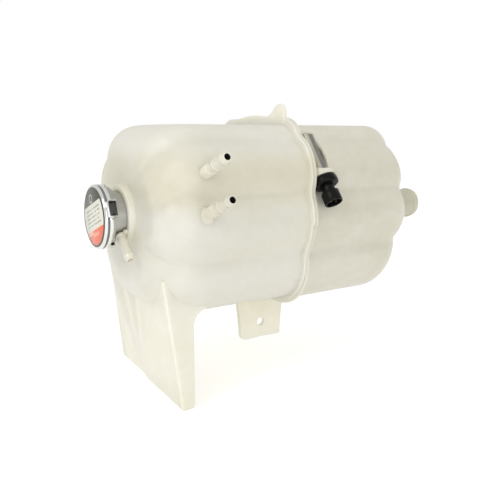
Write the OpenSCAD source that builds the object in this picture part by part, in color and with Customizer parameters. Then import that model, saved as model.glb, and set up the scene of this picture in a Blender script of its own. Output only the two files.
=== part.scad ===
/* [Tank body] */
// Height of the body's crown above the filler axis
body_top = 81; // [75:1:90]
// Depth of the body's belly below the filler axis
body_drop = 90; // [84:1:98]
// Wall of the moulded shell
wall = 3; // [2:0.5:4]
// Length of the half that carries the filler neck
cap_half_len = 146; // [135:1:165]
// Length of the half that carries the outlet
outlet_half_len = 139; // [125:1:160]
// Rounding of the crown, belly and sides into the two ends
end_round = 30; // [24:1:34]
// Rounding of the corners into the two ends
barrel_round = 42; // [36:1:46]
// Room between the corner lobes and the round form that rounds them into the ends
barrel_gap = 1.2; // [0.5:0.1:4]

/* [Lobes] */
// Half distance between the two shoulder lobes
shoulder_y = 46; // [43:1:49]
// Radius of the shoulder lobes
shoulder_r = 18; // [16:1:21]
// Half width over the upper lobes
upper_reach = 86; // [84:1:88]
// Radius of the upper lobes
upper_r = 35; // [33:1:38]
// Height of the upper lobes' middle
upper_z = 34; // [32:1:36]
// Half width over the middle lobes
middle_reach = 90; // [87:1:92]
// Radius of the middle lobes
middle_r = 50; // [46:1:54]
// Height of the middle lobes' middle
middle_z = -6; // [-8:1:-4]
// Half width over the lower lobes
lower_reach = 80; // [78:1:84]
// Radius of the lower lobes
lower_r = 42; // [38:1:46]

/* [Weld flange] */
// Reach of the weld flange beyond the body
flange_out = 7; // [5:0.5:9]
// Thickness of each half's weld flange
flange_t = 3; // [2:0.5:4]
// Reach of the flange's lower part beyond the body
flange_low_out = 4.5; // [3:0.5:6]
// Height of the step between the flange's two parts
flange_step_z = -9; // [-20:1:10]
// Height of the flat crown on the cap half's flange
crown_top = 91; // [89:0.5:93]
// Half width of the crown
crown_half = 50; // [44:1:54]
// Radius of the crown's arc
crown_r = 140; // [120:5:180]
// Height of the lifting fin above the filler axis
fin_top = 101; // [98:1:106]
// Distance of the fin's front edge from the middle
fin_front = 50; // [47:1:52]
// Width of the fin's flat head
fin_head = 18; // [14:1:22]
// Radius of the fin's front corner
fin_r = 4.5; // [3:0.5:6]
// Thickness of the fin
fin_t = 4; // [3:0.5:6]

/* [Filler neck] */
// Height of the neck's rim above the end of the body
neck_rise = 22; // [20:1:26]
// Inner radius of the neck
neck_in_r = 21.5; // [20.5:0.5:23]
// Sheet thickness of the metal neck
neck_t = 1.2; // [1:0.1:1.5]
// Depth of the valve seat below the rim
seat_depth = 19; // [18:0.5:20]
// Radius of the hole in the valve seat
seat_hole_r = 15; // [14:0.5:16]
// Length of the neck's tube below the seat
tail_len = 5; // [4:0.5:8]
// Radius of the cam flange
cam_r = 26.5; // [26:0.5:28.5]
// Depth of the cam flange's skirt where the cap is locked
cam_deep = 6.4; // [6:0.1:6.6]
// Height that the cams lift the cap
cam_lift = 2.5; // [2:0.1:3]
// Outer radius of the plastic collar round the neck
collar_r = 28; // [27:0.5:31]
// Height of the collar above the end of the body
collar_h = 6; // [5:0.5:7]
// Wire radius of the neck's sealing ring
oring_r = 1; // [0.8:0.1:1.3]

/* [Nipples] */
// Radius of the overflow nipple's tube
overflow_r = 4; // [3.5:0.25:4.5]
// Radius of the overflow nipple's bore
overflow_bore_r = 2.4; // [2:0.1:2.8]
// Distance of the overflow nipple below the neck's rim
overflow_drop = 11.5; // [11.5:0.25:12.5]
// Reach of the overflow nipple from the neck's axis
overflow_reach = 52; // [46:1:60]
// Angle of the overflow nipple below the horizontal
overflow_angle = 41; // [30:1:60]
// Distance of the vent nipples from the weld
vent_x = 107.5; // [95:0.5:112]
// Radius of the vent nipples' tubes
vent_r = 4; // [3.5:0.25:4.5]
// Radius of the vent nipples' bores
vent_bore_r = 2.5; // [2:0.1:2.8]
// Radius of the collars at the vent nipples' roots
vent_root_r = 5.5; // [5:0.25:7]
// Rise of the vent nipples towards their tips in degrees
vent_rise = 21.5; // [15:0.5:27]
// Reach of the upper vent nipple's tip in front of the filler axis
vent_upper_y = 120; // [115:1:128]
// Height of the upper vent nipple's tip
vent_upper_z = 55.5; // [50:0.5:60]
// Reach of the lower vent nipple's tip in front of the filler axis
vent_lower_y = 127.5; // [120:0.5:132]
// Height of the lower vent nipple's tip
vent_lower_z = 23; // [18:0.5:28]
// Length of the vent nipples, from their tips to inside the body's wall
vent_len = 44; // [42:1:48]
// Length of the collars at the vent nipples' roots
vent_root_len = 16; // [12:1:18]
// Length of the barbed tips
barb_len = 5; // [4:0.5:7]
// Rise of the barbs above their tubes
barb_out = 0.6; // [0.4:0.1:0.8]

/* [Outlet] */
// Height of the outlet's axis against the filler axis
outlet_z = -10; // [-14:1:-6]
// Radius of the outlet spigot
outlet_r = 16.5; // [14:0.5:19]
// Wall of the outlet spigot
outlet_wall = 3; // [2.5:0.5:4]
// Length of the outlet spigot beyond the body's end
outlet_len = 85; // [50:1:90]
// Radius of the raised pad under the spigot
outlet_pad_r = 30; // [26:1:34]
// Height of the raised pad
outlet_pad_h = 7; // [4:1:10]

/* [Lower lug] */
// Radius of the bolt hole
lug_hole_r = 4.5; // [3.5:0.5:5.5]
// Distance of the bolt hole from the weld, towards the outlet
lug_x = 3; // [0:1:6]
// Depth of the bolt hole below the filler axis
lug_hole_drop = 125; // [122:1:130]
// Depth of the lug's lower edge below the filler axis
lug_drop = 142; // [139:1:150]
// Half width of the lug at its top
lug_half_top = 29; // [26:1:33]
// Half width of the lug at its lower edge
lug_half_low = 25; // [22:1:28]
// Thickness of the lug
lug_t = 5; // [4:0.5:8]
// Radius of the lug's lower corners
lug_corner_r = 6; // [4:0.5:8]

/* [Bracket leg] */
// Reach of the leg to the front
leg_front = 66; // [60:1:68]
// Reach of the leg to the back at its top
leg_back = 62; // [56:1:66]
// Reach of the leg to the back at its foot
leg_back_low = 72; // [68:1:78]
// Depth of the leg's front corner below the filler axis
leg_drop = 171; // [164:1:185]
// Rise of the front part of the leg's lower edge
leg_rise = 4.5; // [0:0.5:6]
// Height of the step in the leg's lower edge
leg_step = 4; // [2:0.5:6]
// Place of the step, towards the back
leg_step_y = 14; // [5:1:25]
// Thickness of the leg's plate and side webs
leg_t = 4; // [3:0.5:5]
// Lean of the leg's plate in degrees
leg_lean = 8; // [6:0.5:10]
// Distance of the plate from the weld at the height of the filler axis
leg_x = 147; // [144:1:150]
// Distance of the side webs' free edge from the weld
web_x = 110; // [106:1:114]
// Radius of the webs' fillet under the belly
web_fillet = 14; // [10:1:18]

/* [Level sensor] */
// Distance of the sensor from the weld
sensor_x = 16; // [16:0.5:19]
// Distance of the sensor's seat in front of the filler axis
sensor_y = 86.4; // [84:0.2:88]
// Height of the sensor's seat above the filler axis
sensor_z = 32.3; // [31:0.1:34]
// Tilt of the sensor from the vertical
sensor_tilt = 36; // [34:0.5:38]
// Radius of the sensor's tube
tube_r = 6.4; // [5.8:0.1:7]
// Wall of the sensor's tube
tube_wall = 0.8; // [0.5:0.1:1.2]
// Radius of the sensor's potted core
core_r = 4; // [3:0.25:5]
// Radius of the sensor's collar
head_r = 12; // [11:0.25:12.5]
// Length of the sensor's collar
head_len = 8.5; // [7.5:0.5:11]
// Radius of the sensor's waist
waist_r = 6.2; // [5.5:0.1:7]
// Length of the sensor's waist
waist_len = 6.5; // [5:0.5:9]
// Radius of the connector's shroud
shroud_r = 8.5; // [7.5:0.25:9]
// Length of the connector's shroud
shroud_len = 11.5; // [10:0.5:16]
// Wall of the connector's shroud
shroud_wall = 1.4; // [1:0.1:2]
// Height of the recess' roof above the filler axis
roof_z = 72.7; // [71:0.2:73.5]
// Height of the recess' floor above the filler axis
floor_z = 42.2; // [41:0.1:43]
// Room behind the tube in the recess
recess_gap = 1.5; // [1:0.25:3]
// Width of the recess beyond the tube, towards the weld
recess_weld_side = 5; // [3:0.5:5]
// Width of the recess beyond the tube, towards the outlet
recess_side = 3.1; // [2.5:0.1:6]
// Room round the sensor's head in its pocket
head_room = 0.8; // [0.6:0.1:2]
// Radius of the boss that carries the sensor
boss_r = 11.8; // [11:0.1:12]

/* [Cap] */
// Outer radius of the cap's shell
shell_r = 29; // [28.75:0.25:32]
// Sheet thickness of the shell
shell_t = 1; // [0.8:0.1:1.2]
// Height of the label's face above the neck's rim
cap_h = 6; // [5.8:0.1:7]
// Depth of the shell's skirt below the neck's rim
skirt_drop = 2; // [1:0.5:3]
// Rounding of the shell's edge
shell_round = 2.2; // [1.5:0.1:2.6]
// Radius of the label
label_r = 26.7; // [24:0.1:26.8]
// Thickness of the label
label_t = 0.4; // [0.3:0.1:0.6]
// Width of the grip ears
ear_w = 15; // [12:1:18]
// Reach of the grip ears from the cap's axis
ear_reach = 34; // [32:0.5:37]
// Height of the grip ears
ear_h = 9; // [7:0.5:10]
// Width of the locking hooks
hook_w = 13; // [10:1:14]
// Turn of the ears above the front
ear_angle = 19; // [0:1:60]
// Radius of the cap's rivet
rivet_r = 2.5; // [2:0.1:3]
// Thickness of the top gasket
top_gasket_t = 1.2; // [1:0.1:1.6]
// Thickness of the spring disc
disc_t = 0.5; // [0.4:0.1:0.8]
// Outer radius of the guide bell
bell_r = 10; // [9:0.25:11]
// Sheet thickness of the bell
bell_t = 0.8; // [0.6:0.1:1]
// Radius of the pressure plate
plate_r = 18.5; // [17.5:0.25:19]
// Thickness of the pressure plate
plate_t = 1; // [0.8:0.1:1.4]
// Thickness of the pressure seal
seal_t = 2; // [1.6:0.1:2.4]
// Wire radius of the pressure spring
coil_wire_r = 1.1; // [0.8:0.1:1.3]
// Mean radius of the pressure spring
coil_r = 14.5; // [13.5:0.25:15.5]
// Radius of the vacuum valve's disc
vacuum_r = 7; // [6:0.25:7.5]
// Radius of the vacuum valve's stem
stem_r = 1.5; // [1.2:0.1:1.7]

/* [Clearances] */
// Radial gap of a running fit
run_gap = 0.05; // [0.02:0.01:0.1]
// Gap between pieces that only lie next to each other
free_gap = 0.3; // [0.2:0.05:0.5]
// Gap between the hooks and the cams when the cap is locked
cam_gap = 0.2; // [0.15:0.01:0.25]

/* [Hidden] */
$fn = 72;
over = 1;
far = 300;

body_mid_z = (body_top - body_drop) / 2;
lower_y = lower_reach - lower_r;
barrel_reach = norm([lower_y, body_drop - lower_r + body_mid_z]) + lower_r + barrel_gap;
neck_x = -(cap_half_len + neck_rise);
neck_out_r = neck_in_r + neck_t;
seat_under = -seat_depth - neck_t;
oring_z = seat_under + 2.2;
overflow_turn = 270 - overflow_angle;
overflow_boss_r = neck_out_r + 3.6;
overflow_boss_w = 5 * overflow_r;
tip_in = 0.4;
bead_len = 8;
bead_out = 1.2;
hook_turn = 90;
hook_half_deg = asin(hook_w / 2 / neck_out_r);
notch_half_deg = hook_half_deg + 2;
ramp_mid = hook_turn / 2 - hook_half_deg;
ramp_slope = atan(cam_lift / 2 / sin(hook_turn / 2) / cam_r);
ramp_mid_z = -cam_deep + cam_lift / 2;
cam_skirt_end = -cam_deep - 1;
fin_root_z = body_top - wall;
fin_back = fin_head - fin_front;
fin_slope_w = 13;
crown_root_z = body_top - shoulder_r;
leg_root_z = -40;
web_top_z = -body_drop - leg_t;
web_corner = 4;
ear_turn = -(90 - ear_angle);
hook_at = ear_turn + 90;
shell_in_r = shell_r - shell_t;
shell_top = cap_h - label_t;
dish_deep = 0.6;
dish_r = 21;
shell_under = shell_top - dish_deep - shell_t;
hook_top = -cam_deep - cam_gap;
hook_t = 1;
hook_inset = 0.1;
hook_in_r = neck_out_r + 1.2;
hook_root_z = -skirt_drop + shell_t / 2;
ear_top = shell_top - 1.5 * shell_t;
gasket_r = cam_r - disc_t;
disc_rim_z = top_gasket_t;
disc_foot_r = neck_in_r + disc_t;
disc_flat_r = disc_foot_r - 10 * disc_t;
disc_bend = 0.4 * disc_t;
disc_hub_z = shell_under - 0.1 - disc_t;
bell_top = disc_hub_z;
bell_floor_top = -seat_depth + 0.5;
bell_floor_t = 1;
bell_port_z = -8;
bell_port_r = 2;
bell_lip_r = bell_r + 1.5;
plate_low = -seat_depth + seal_t;
plate_hub_t = 1.2;
spring_seat_gap = 0.05;
vacuum_top = bell_floor_top - bell_floor_t - run_gap;
stem_top = bell_floor_top + 9;
stem_head_r = 3.6;
stem_head_t = 0.8;
vacuum_t = 0.8;
vacuum_wire_r = 0.35;
vacuum_coil_r = 2.6;
recess_from = sensor_x - tube_r - recess_weld_side;
recess_to = sensor_x + tube_r + recess_side;
recess_deep = tube_r + recess_gap;
tube_up = (roof_z - sensor_z) / cos(sensor_tilt) + tube_r;
tube_in_head = 5;
gasket_t = 1;
pin_r = 0.8;
pin_side = 3;
pin_foot = 4;
pin_len = 14;
socket_floor = 3;
head_pocket_r = head_r + head_room;
pocket_len = 45;
boss_len = 16;

// Draws a flat shape, given as y and z, as a prism from one x to another
module along_x(from, to) {
    translate([from, 0, 0]) rotate([90, 0, 90]) linear_extrude(to - from) children();
}

// Draws a flat shape, given as x and z, as a prism between two y values
module along_y(from, to) {
    translate([0, to, 0]) rotate([90, 0, 0]) linear_extrude(to - from) children();
}

// The body's cross section with its eight lobes, grown or shrunk by one margin
module section(grow) {
    for (side = [-1, 1]) {
        translate([side * shoulder_y, body_top - shoulder_r]) circle(r = shoulder_r + grow);
        translate([side * (upper_reach - upper_r), upper_z]) circle(r = upper_r + grow);
        translate([side * (middle_reach - middle_r), middle_z]) circle(r = middle_r + grow);
        translate([side * lower_y, lower_r - body_drop]) circle(r = lower_r + grow);
    }
    translate([-shoulder_y, 0]) square([2 * shoulder_y, body_top + grow]);
    translate([-lower_y, -body_drop - grow]) square([2 * lower_y, body_drop + grow]);
}

// A flat strip from the weld to one end, with two round corners at that end
module round_end_strip(len, low, high, r, start) {
    translate([start, low]) square([len - r - start, high - low]);
    translate([start, low + r]) square([len - start, high - low - 2 * r]);
    translate([len - r, low + r]) circle(r = r);
    translate([len - r, high - r]) circle(r = r);
}

// One half of the body from the weld at x = 0 to its domed end, shrunk by one margin
module half_form(len, shrink, start) {
    end = len - shrink;
    intersection() {
        along_x(start, end) section(-shrink);
        along_y(-far, far)
            round_end_strip(end, -body_drop + shrink, body_top - shrink, end_round - shrink, start);
        translate([0, 0, -far]) linear_extrude(2 * far)
            round_end_strip(end, -middle_reach + shrink, middle_reach - shrink, end_round - shrink, start);
        translate([0, 0, body_mid_z]) rotate([0, 90, 0]) rotate_extrude() {
            translate([0, start]) square([barrel_reach - barrel_round, end - start]);
            translate([0, start]) square([barrel_reach - shrink, len - barrel_round - start]);
            translate([barrel_reach - barrel_round, len - barrel_round]) circle(r = barrel_round - shrink);
        }
    }
}

// Places its children on the neck: z leaves the tank and z = 0 is the rim
module at_neck() {
    translate([neck_x, 0, 0]) rotate([0, -90, 0]) children();
}

// Places its children on the sensor: z runs down and out and z = 0 is its seat
module at_sensor() {
    translate([sensor_x, -sensor_y, sensor_z]) rotate([180 - sensor_tilt, 0, 0]) children();
}

// Places its children on a vent nipple: z runs outward and z = 0 is the tip
module at_vent(tip_y, tip_z) {
    translate([-vent_x, -tip_y, tip_z]) rotate([90 - vent_rise, 0, 0]) children();
}

// A ring round the z axis
module ring(r_out, r_in, low, high) {
    translate([0, 0, low]) difference() {
        cylinder(r = r_out, h = high - low);
        translate([0, 0, -over]) cylinder(r = r_in, h = high - low + 2 * over);
    }
}

// A flat wedge of the given radius between two angles, less than a half turn
module wedge(r, from_deg, to_deg) {
    mid_deg = (from_deg + to_deg) / 2;
    reach = r / cos((to_deg - from_deg) / 4);
    polygon([
        [0, 0],
        [r * cos(from_deg), r * sin(from_deg)],
        [reach * cos((from_deg + mid_deg) / 2), reach * sin((from_deg + mid_deg) / 2)],
        [r * cos(mid_deg), r * sin(mid_deg)],
        [reach * cos((to_deg + mid_deg) / 2), reach * sin((to_deg + mid_deg) / 2)],
        [r * cos(to_deg), r * sin(to_deg)]
    ]);
}

// A hose nipple along z with its tip at z = 0: tube, root collar and barb
module hose_nipple(r, len, root_r, root_len) {
    translate([0, 0, -len]) cylinder(r = r, h = len);
    translate([0, 0, -len]) cylinder(r = root_r, h = root_len);
    translate([0, 0, -barb_len]) cylinder(r1 = r + barb_out, r2 = r - tip_in, h = barb_len);
}

module vent_nipples() {
    at_vent(vent_upper_y, vent_upper_z) hose_nipple(vent_r, vent_len, vent_root_r, vent_root_len);
    at_vent(vent_lower_y, vent_lower_z) hose_nipple(vent_r, vent_len, vent_root_r, vent_root_len);
}

module vent_bore() {
    translate([0, 0, -vent_len - 2 * wall]) cylinder(r = vent_bore_r, h = vent_len + 2 * wall + over);
}

module vent_bores() {
    at_vent(vent_upper_y, vent_upper_z) vent_bore();
    at_vent(vent_lower_y, vent_lower_z) vent_bore();
}

// The overflow nipple stands on a local boss of the collar
module overflow_nipple() {
    at_neck() {
        intersection() {
            ring(overflow_boss_r, neck_out_r + run_gap, -neck_rise, -overflow_drop + overflow_r - 1);
            rotate([0, 0, overflow_turn]) translate([0, -overflow_boss_w / 2, -neck_rise - over])
                cube([far, overflow_boss_w, far]);
        }
        translate([0, 0, -overflow_drop]) rotate([0, 0, overflow_turn])
            translate([overflow_reach, 0, 0]) rotate([0, 90, 0])
                hose_nipple(overflow_r, overflow_reach - neck_out_r - 1, overflow_r, 1);
    }
}

module overflow_bore() {
    at_neck() translate([0, 0, -overflow_drop]) rotate([0, 0, overflow_turn])
        translate([neck_in_r - 1, 0, 0]) rotate([0, 90, 0])
            cylinder(r = overflow_bore_r, h = overflow_reach - neck_in_r + 2);
}

// The weld flange's outline, which follows the lobes and is narrower below its step
module flange_outline() {
    section(flange_low_out);
    intersection() {
        section(flange_out);
        translate([-far / 2, flange_step_z]) square([far, far]);
    }
}

module crown_outline() {
    intersection() {
        translate([0, crown_top - crown_r]) circle(r = crown_r, $fn = 180);
        translate([-crown_half, crown_root_z]) square([2 * crown_half, far]);
    }
}

module fin_outline() {
    translate([-fin_front + fin_r, fin_top - fin_r]) circle(r = fin_r);
    translate([-fin_front, fin_root_z]) square([fin_head, fin_top - fin_r - fin_root_z]);
    translate([-fin_front + fin_r, fin_root_z]) square([fin_head - fin_r, fin_top - fin_root_z]);
    polygon([
        [fin_back - over, fin_root_z],
        [fin_back + fin_slope_w, fin_root_z],
        [fin_back + fin_slope_w, crown_top - over],
        [fin_back - over, fin_top]
    ]);
}

// The lower lug hangs under the weld from the cap half's flange
module lug_outline() {
    difference() {
        union() {
            polygon([
                [lug_x - lug_half_top, -body_drop + 1],
                [lug_x + lug_half_top, -body_drop + 1],
                [lug_x + lug_half_low, -lug_drop + lug_corner_r],
                [lug_x - lug_half_low, -lug_drop + lug_corner_r]
            ]);
            translate([lug_x - lug_half_low + lug_corner_r, -lug_drop])
                square([2 * (lug_half_low - lug_corner_r), lug_corner_r + 1]);
            for (side = [-1, 1])
                translate([lug_x + side * (lug_half_low - lug_corner_r), -lug_drop + lug_corner_r])
                    circle(r = lug_corner_r);
        }
        translate([0, -body_drop - flange_low_out - free_gap]) square([far, far]);
    }
}

// The leg is a leaning plate with a web at its front and back edge
module leg_plate_outline() {
    polygon([
        [-leg_front, leg_root_z],
        [leg_back, leg_root_z],
        [leg_back_low, -leg_drop + leg_rise + leg_step + 2],
        [leg_step_y + 4, -leg_drop + leg_rise + leg_step],
        [leg_step_y - 4, -leg_drop + leg_rise],
        [-leg_front, -leg_drop]
    ]);
}

module leg_web_outline(low) {
    difference() {
        polygon([
            [-leg_x - leg_root_z * tan(leg_lean), leg_root_z],
            [-leg_x + low * tan(leg_lean), -low],
            [-web_x - web_corner, -low],
            [-web_x, -low + web_corner],
            [-web_x, web_top_z],
            [-web_x + web_fillet, web_top_z],
            [-web_x + web_fillet, leg_root_z]
        ]);
        translate([-web_x + web_fillet, web_top_z]) circle(r = web_fillet);
    }
}

module bracket_leg() {
    intersection() {
        along_x(-far, 0) leg_plate_outline();
        translate([-leg_x, 0, 0]) rotate([0, -leg_lean, 0]) translate([0, -far, -far])
            cube([leg_t, 2 * far, far]);
    }
    along_y(-leg_front, -leg_front + leg_t) leg_web_outline(leg_drop);
    along_y(leg_back - leg_t, leg_back) leg_web_outline(leg_drop - leg_rise - leg_step - 1);
}

module collar_hole() {
    at_neck() {
        translate([0, 0, seat_under - run_gap]) cylinder(r = neck_out_r + run_gap, h = far);
        translate([0, 0, -far / 2]) cylinder(r = seat_hole_r + neck_t + run_gap, h = far);
        translate([0, 0, oring_z]) rotate_extrude() translate([neck_out_r + oring_r, 0])
            circle(r = oring_r + run_gap);
    }
}

module tank_cap_half() {
    color([0.9, 0.89, 0.84]) difference() {
        union() {
            difference() {
                union() {
                    mirror([1, 0, 0]) half_form(cap_half_len, 0, 0);
                    along_x(-flange_t, 0) flange_outline();
                    along_x(-flange_t, 0) crown_outline();
                    along_x(-fin_t, 0) fin_outline();
                    along_y(-lug_t / 2, lug_t / 2) lug_outline();
                    bracket_leg();
                    vent_nipples();
                    at_neck() translate([0, 0, -neck_rise - 2]) cylinder(r = collar_r, h = collar_h + 2);
                }
                mirror([1, 0, 0]) half_form(cap_half_len, wall, -over);
            }
            overflow_nipple();
            at_neck() translate([0, 0, -neck_rise - tail_len + over])
                cylinder(r = collar_r, h = collar_h + tail_len - over);
        }
        collar_hole();
        vent_bores();
        overflow_bore();
        translate([lug_x, far / 2, -lug_hole_drop]) rotate([90, 0, 0]) cylinder(r = lug_hole_r, h = far);
    }
}

// The recess in which the sensor's tube lies, grown by one margin
module tube_recess(grow) {
    back_y = -sensor_y + recess_deep * cos(sensor_tilt) + grow;
    back_z = sensor_z - recess_deep * sin(sensor_tilt);
    slope = tan(sensor_tilt);
    along_x(recess_from - grow, recess_to + grow) polygon([
        [-far, roof_z + grow],
        [back_y + (roof_z + grow - back_z) * slope, roof_z + grow],
        [back_y + (floor_z - grow - back_z) * slope, floor_z - grow],
        [-far, floor_z - grow]
    ]);
}

// The round pocket below the boss that clears the sensor's head and plug
module head_recess(grow) {
    at_sensor() translate([0, 0, -grow]) cylinder(r = head_pocket_r + grow, h = pocket_len);
}

// The boss on which the sensor's collar seats, level with the recess' floor
module sensor_boss() {
    difference() {
        at_sensor() translate([0, 0, -boss_len]) cylinder(r = boss_r, h = boss_len);
        translate([-far, -far, floor_z]) cube([2 * far, 2 * far, far]);
    }
}

// Solid ground round the sensor, from which the recesses are cut
module sensor_block() {
    tube_recess(wall);
    head_recess(wall);
}

module outlet_spigot(r, len) {
    translate([outlet_half_len - wall - over, 0, outlet_z]) rotate([0, 90, 0])
        cylinder(r = r, h = len + wall + over);
}

module tank_outlet_half() {
    color([0.86, 0.84, 0.77]) difference() {
        union() {
            difference() {
                union() {
                    half_form(outlet_half_len, 0, 0);
                    along_x(0, flange_t) flange_outline();
                    outlet_spigot(outlet_pad_r, outlet_pad_h);
                    outlet_spigot(outlet_r, outlet_len);
                    translate([outlet_half_len + outlet_len - bead_len, 0, outlet_z]) rotate([0, 90, 0])
                        cylinder(r1 = outlet_r + bead_out, r2 = outlet_r - tip_in, h = bead_len);
                }
                difference() {
                    half_form(outlet_half_len, wall, -over);
                    sensor_block();
                }
                head_recess(0);
            }
            sensor_boss();
        }
        tube_recess(0);
        at_sensor() translate([0, 0, -tube_up / 2]) cylinder(r = tube_r + run_gap, h = tube_up / 2 + over);
        translate([outlet_half_len - 2 * wall - 2, 0, outlet_z]) rotate([0, 90, 0])
            cylinder(r = outlet_r - outlet_wall, h = outlet_len + far);
    }
}

// The metal neck: rim, cam skirt, cup, valve seat and tail
module filler_neck() {
    color([0.62, 0.62, 0.6]) at_neck() difference() {
        union() {
            ring(cam_r, neck_in_r, -neck_t, 0);
            ring(neck_out_r, neck_in_r, -seat_depth - neck_t, 0);
            ring(neck_out_r, seat_hole_r, seat_under, -seat_depth);
            ring(seat_hole_r + neck_t, seat_hole_r, seat_under - tail_len, -seat_depth);
            cam_skirt();
        }
        translate([0, 0, -overflow_drop]) rotate([0, 0, overflow_turn])
            translate([neck_in_r - 1, 0, 0]) rotate([0, 90, 0]) cylinder(r = overflow_bore_r, h = 3);
    }
}

// The skirt under the rim, with two ramps on which the hooks climb and two notches
module cam_skirt() {
    difference() {
        ring(cam_r, cam_r - neck_t, cam_skirt_end, 0);
        for (turn = [0, 180]) rotate([0, 0, hook_at + turn]) {
            intersection() {
                translate([0, 0, -far / 2]) linear_extrude(far)
                    wedge(ear_reach, -hook_half_deg - 1, hook_turn);
                rotate([0, 0, ramp_mid + 90]) translate([0, 0, ramp_mid_z]) rotate([0, -ramp_slope, 0])
                    translate([-far, -far, -far]) cube([2 * far, 2 * far, far]);
            }
            translate([0, 0, cam_skirt_end - over]) linear_extrude(-neck_t - cam_skirt_end + over)
                wedge(ear_reach, hook_turn - notch_half_deg, hook_turn + notch_half_deg);
        }
    }
}

module neck_oring() {
    color([0.1, 0.1, 0.1]) at_neck() translate([0, 0, oring_z]) rotate_extrude()
        translate([neck_out_r + oring_r, 0]) circle(r = oring_r - 0.02);
}

module grip_ear() {
    difference() {
        translate([shell_in_r - shell_t, -ear_w / 2, ear_top - ear_h])
            cube([ear_reach - shell_in_r + shell_t, ear_w, ear_h]);
        translate([0, 0, ear_top - ear_h - over])
            cylinder(r = shell_in_r + shell_t / 2, h = ear_h + 2 * over);
        translate([shell_in_r - 2, -ear_w / 2 + shell_t, ear_top - ear_h - over])
            cube([ear_reach - shell_in_r + 2 - shell_t, ear_w - 2 * shell_t, ear_h - shell_t + over]);
    }
}

// A tab of the skirt that is bent inward below the cam flange
module lock_hook() {
    intersection() {
        union() {
            ring(shell_r - hook_inset, shell_in_r + hook_inset, hook_top - hook_t, hook_root_z);
            ring(shell_r - hook_inset, hook_in_r, hook_top - hook_t, hook_top);
        }
        translate([0, -hook_w / 2, -far / 2]) cube([far, hook_w, far]);
    }
}

// The shell's round edge in profile, shrunk by one margin
module shell_profile(shrink) {
    translate([0, -skirt_drop - shrink]) square([shell_r - shell_round, shell_top + skirt_drop]);
    translate([0, -skirt_drop - shrink])
        square([shell_r - shrink, shell_top - shell_round + skirt_drop + shrink]);
    translate([shell_r - shell_round, shell_top - shell_round]) circle(r = shell_round - shrink);
}

module cap_shell() {
    color([0.8, 0.81, 0.82]) at_neck() difference() {
        union() {
            rotate_extrude() difference() {
                shell_profile(0);
                shell_profile(shell_t);
            }
            translate([0, 0, shell_under]) cylinder(r = dish_r + shell_t, h = shell_top - shell_under);
            rotate([0, 0, ear_turn]) grip_ear();
            rotate([0, 0, ear_turn + 180]) grip_ear();
            rotate([0, 0, hook_at]) lock_hook();
            rotate([0, 0, hook_at + 180]) lock_hook();
        }
        translate([0, 0, shell_top - dish_deep]) cylinder(r = dish_r, h = dish_deep + over);
        translate([0, 0, shell_under - over]) cylinder(r = rivet_r + run_gap, h = shell_t + 2 * over);
    }
}

module cap_label() {
    color([0.85, 0.85, 0.82]) at_neck() translate([0, 0, shell_top]) cylinder(r = label_r, h = label_t);
}

module cap_rivet() {
    foot_t = 1.2;
    foot_z = bell_top - bell_t - foot_t;
    head_z = shell_top - dish_deep + run_gap;
    color([0.7, 0.7, 0.7]) at_neck() {
        translate([0, 0, foot_z]) cylinder(r = rivet_r, h = head_z - foot_z + dish_deep / 2);
        translate([0, 0, head_z]) cylinder(r = 2 * rivet_r, h = dish_deep - 2 * run_gap);
        translate([0, 0, foot_z]) cylinder(r = 1.7 * rivet_r, h = foot_t);
    }
}

module cap_spring_disc() {
    color([0.75, 0.74, 0.7]) at_neck() rotate_extrude() polygon([
        [rivet_r, disc_hub_z],
        [disc_flat_r, disc_hub_z],
        [disc_foot_r, disc_rim_z],
        [gasket_r, disc_rim_z],
        [gasket_r, disc_rim_z + disc_t],
        [disc_foot_r + disc_bend, disc_rim_z + disc_t],
        [disc_flat_r + disc_bend, disc_hub_z + disc_t],
        [rivet_r, disc_hub_z + disc_t]
    ]);
}

module cap_top_gasket() {
    color([0.08, 0.08, 0.08]) at_neck() ring(gasket_r, neck_in_r - disc_t, run_gap, top_gasket_t);
}

module cap_bell() {
    color([0.72, 0.7, 0.62]) at_neck() difference() {
        union() {
            ring(coil_r + 2 * coil_wire_r, rivet_r, bell_top - bell_t, bell_top);
            ring(bell_r, bell_r - bell_t, bell_floor_top - bell_floor_t, bell_top);
            ring(bell_lip_r, stem_r + run_gap, bell_floor_top - bell_floor_t, bell_floor_top);
        }
        for (turn = [0:90:270]) rotate([0, 0, turn]) translate([bell_r - 2 * bell_t, 0, bell_port_z])
            rotate([0, 90, 0]) cylinder(r = bell_port_r, h = 4 * bell_t);
        for (turn = [0:60:300]) rotate([0, 0, turn])
            translate([bell_r / 2, 0, bell_floor_top - bell_floor_t - over])
                cylinder(r = bell_port_r / 2, h = bell_floor_t + 2 * over);
    }
}

// Points of a helix, and its tube as one swept solid
function helix_point(t, r, turns, low, high) =
    [r * cos(360 * turns * t), r * sin(360 * turns * t), low + (high - low) * t];

module coil(r, wire, turns, low, high, steps, sides) {
    count = steps * turns;
    points = [
        for (i = [0:count], k = [0:sides - 1])
            let (t = i / count, turn = 360 * turns * t, p = helix_point(t, r, turns, low, high),
                 a = 360 * k / sides)
                p + [wire * cos(a) * cos(turn), wire * cos(a) * sin(turn), wire * sin(a)]
    ];
    faces = concat(
        [[for (k = [0:sides - 1]) k]],
        [for (i = [0:count - 1], k = [0:sides - 1])
            [i * sides + k, (i + 1) * sides + k, (i + 1) * sides + (k + 1) % sides, i * sides + (k + 1) % sides]],
        [[for (k = [sides - 1:-1:0]) count * sides + k]]
    );
    polyhedron(points = points, faces = faces);
}

module pressure_spring() {
    color([0.55, 0.55, 0.55]) at_neck()
        coil(coil_r, coil_wire_r, 4, plate_low + plate_t + coil_wire_r + spring_seat_gap,
             bell_top - bell_t - coil_wire_r - spring_seat_gap, 24, 10);
}

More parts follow.
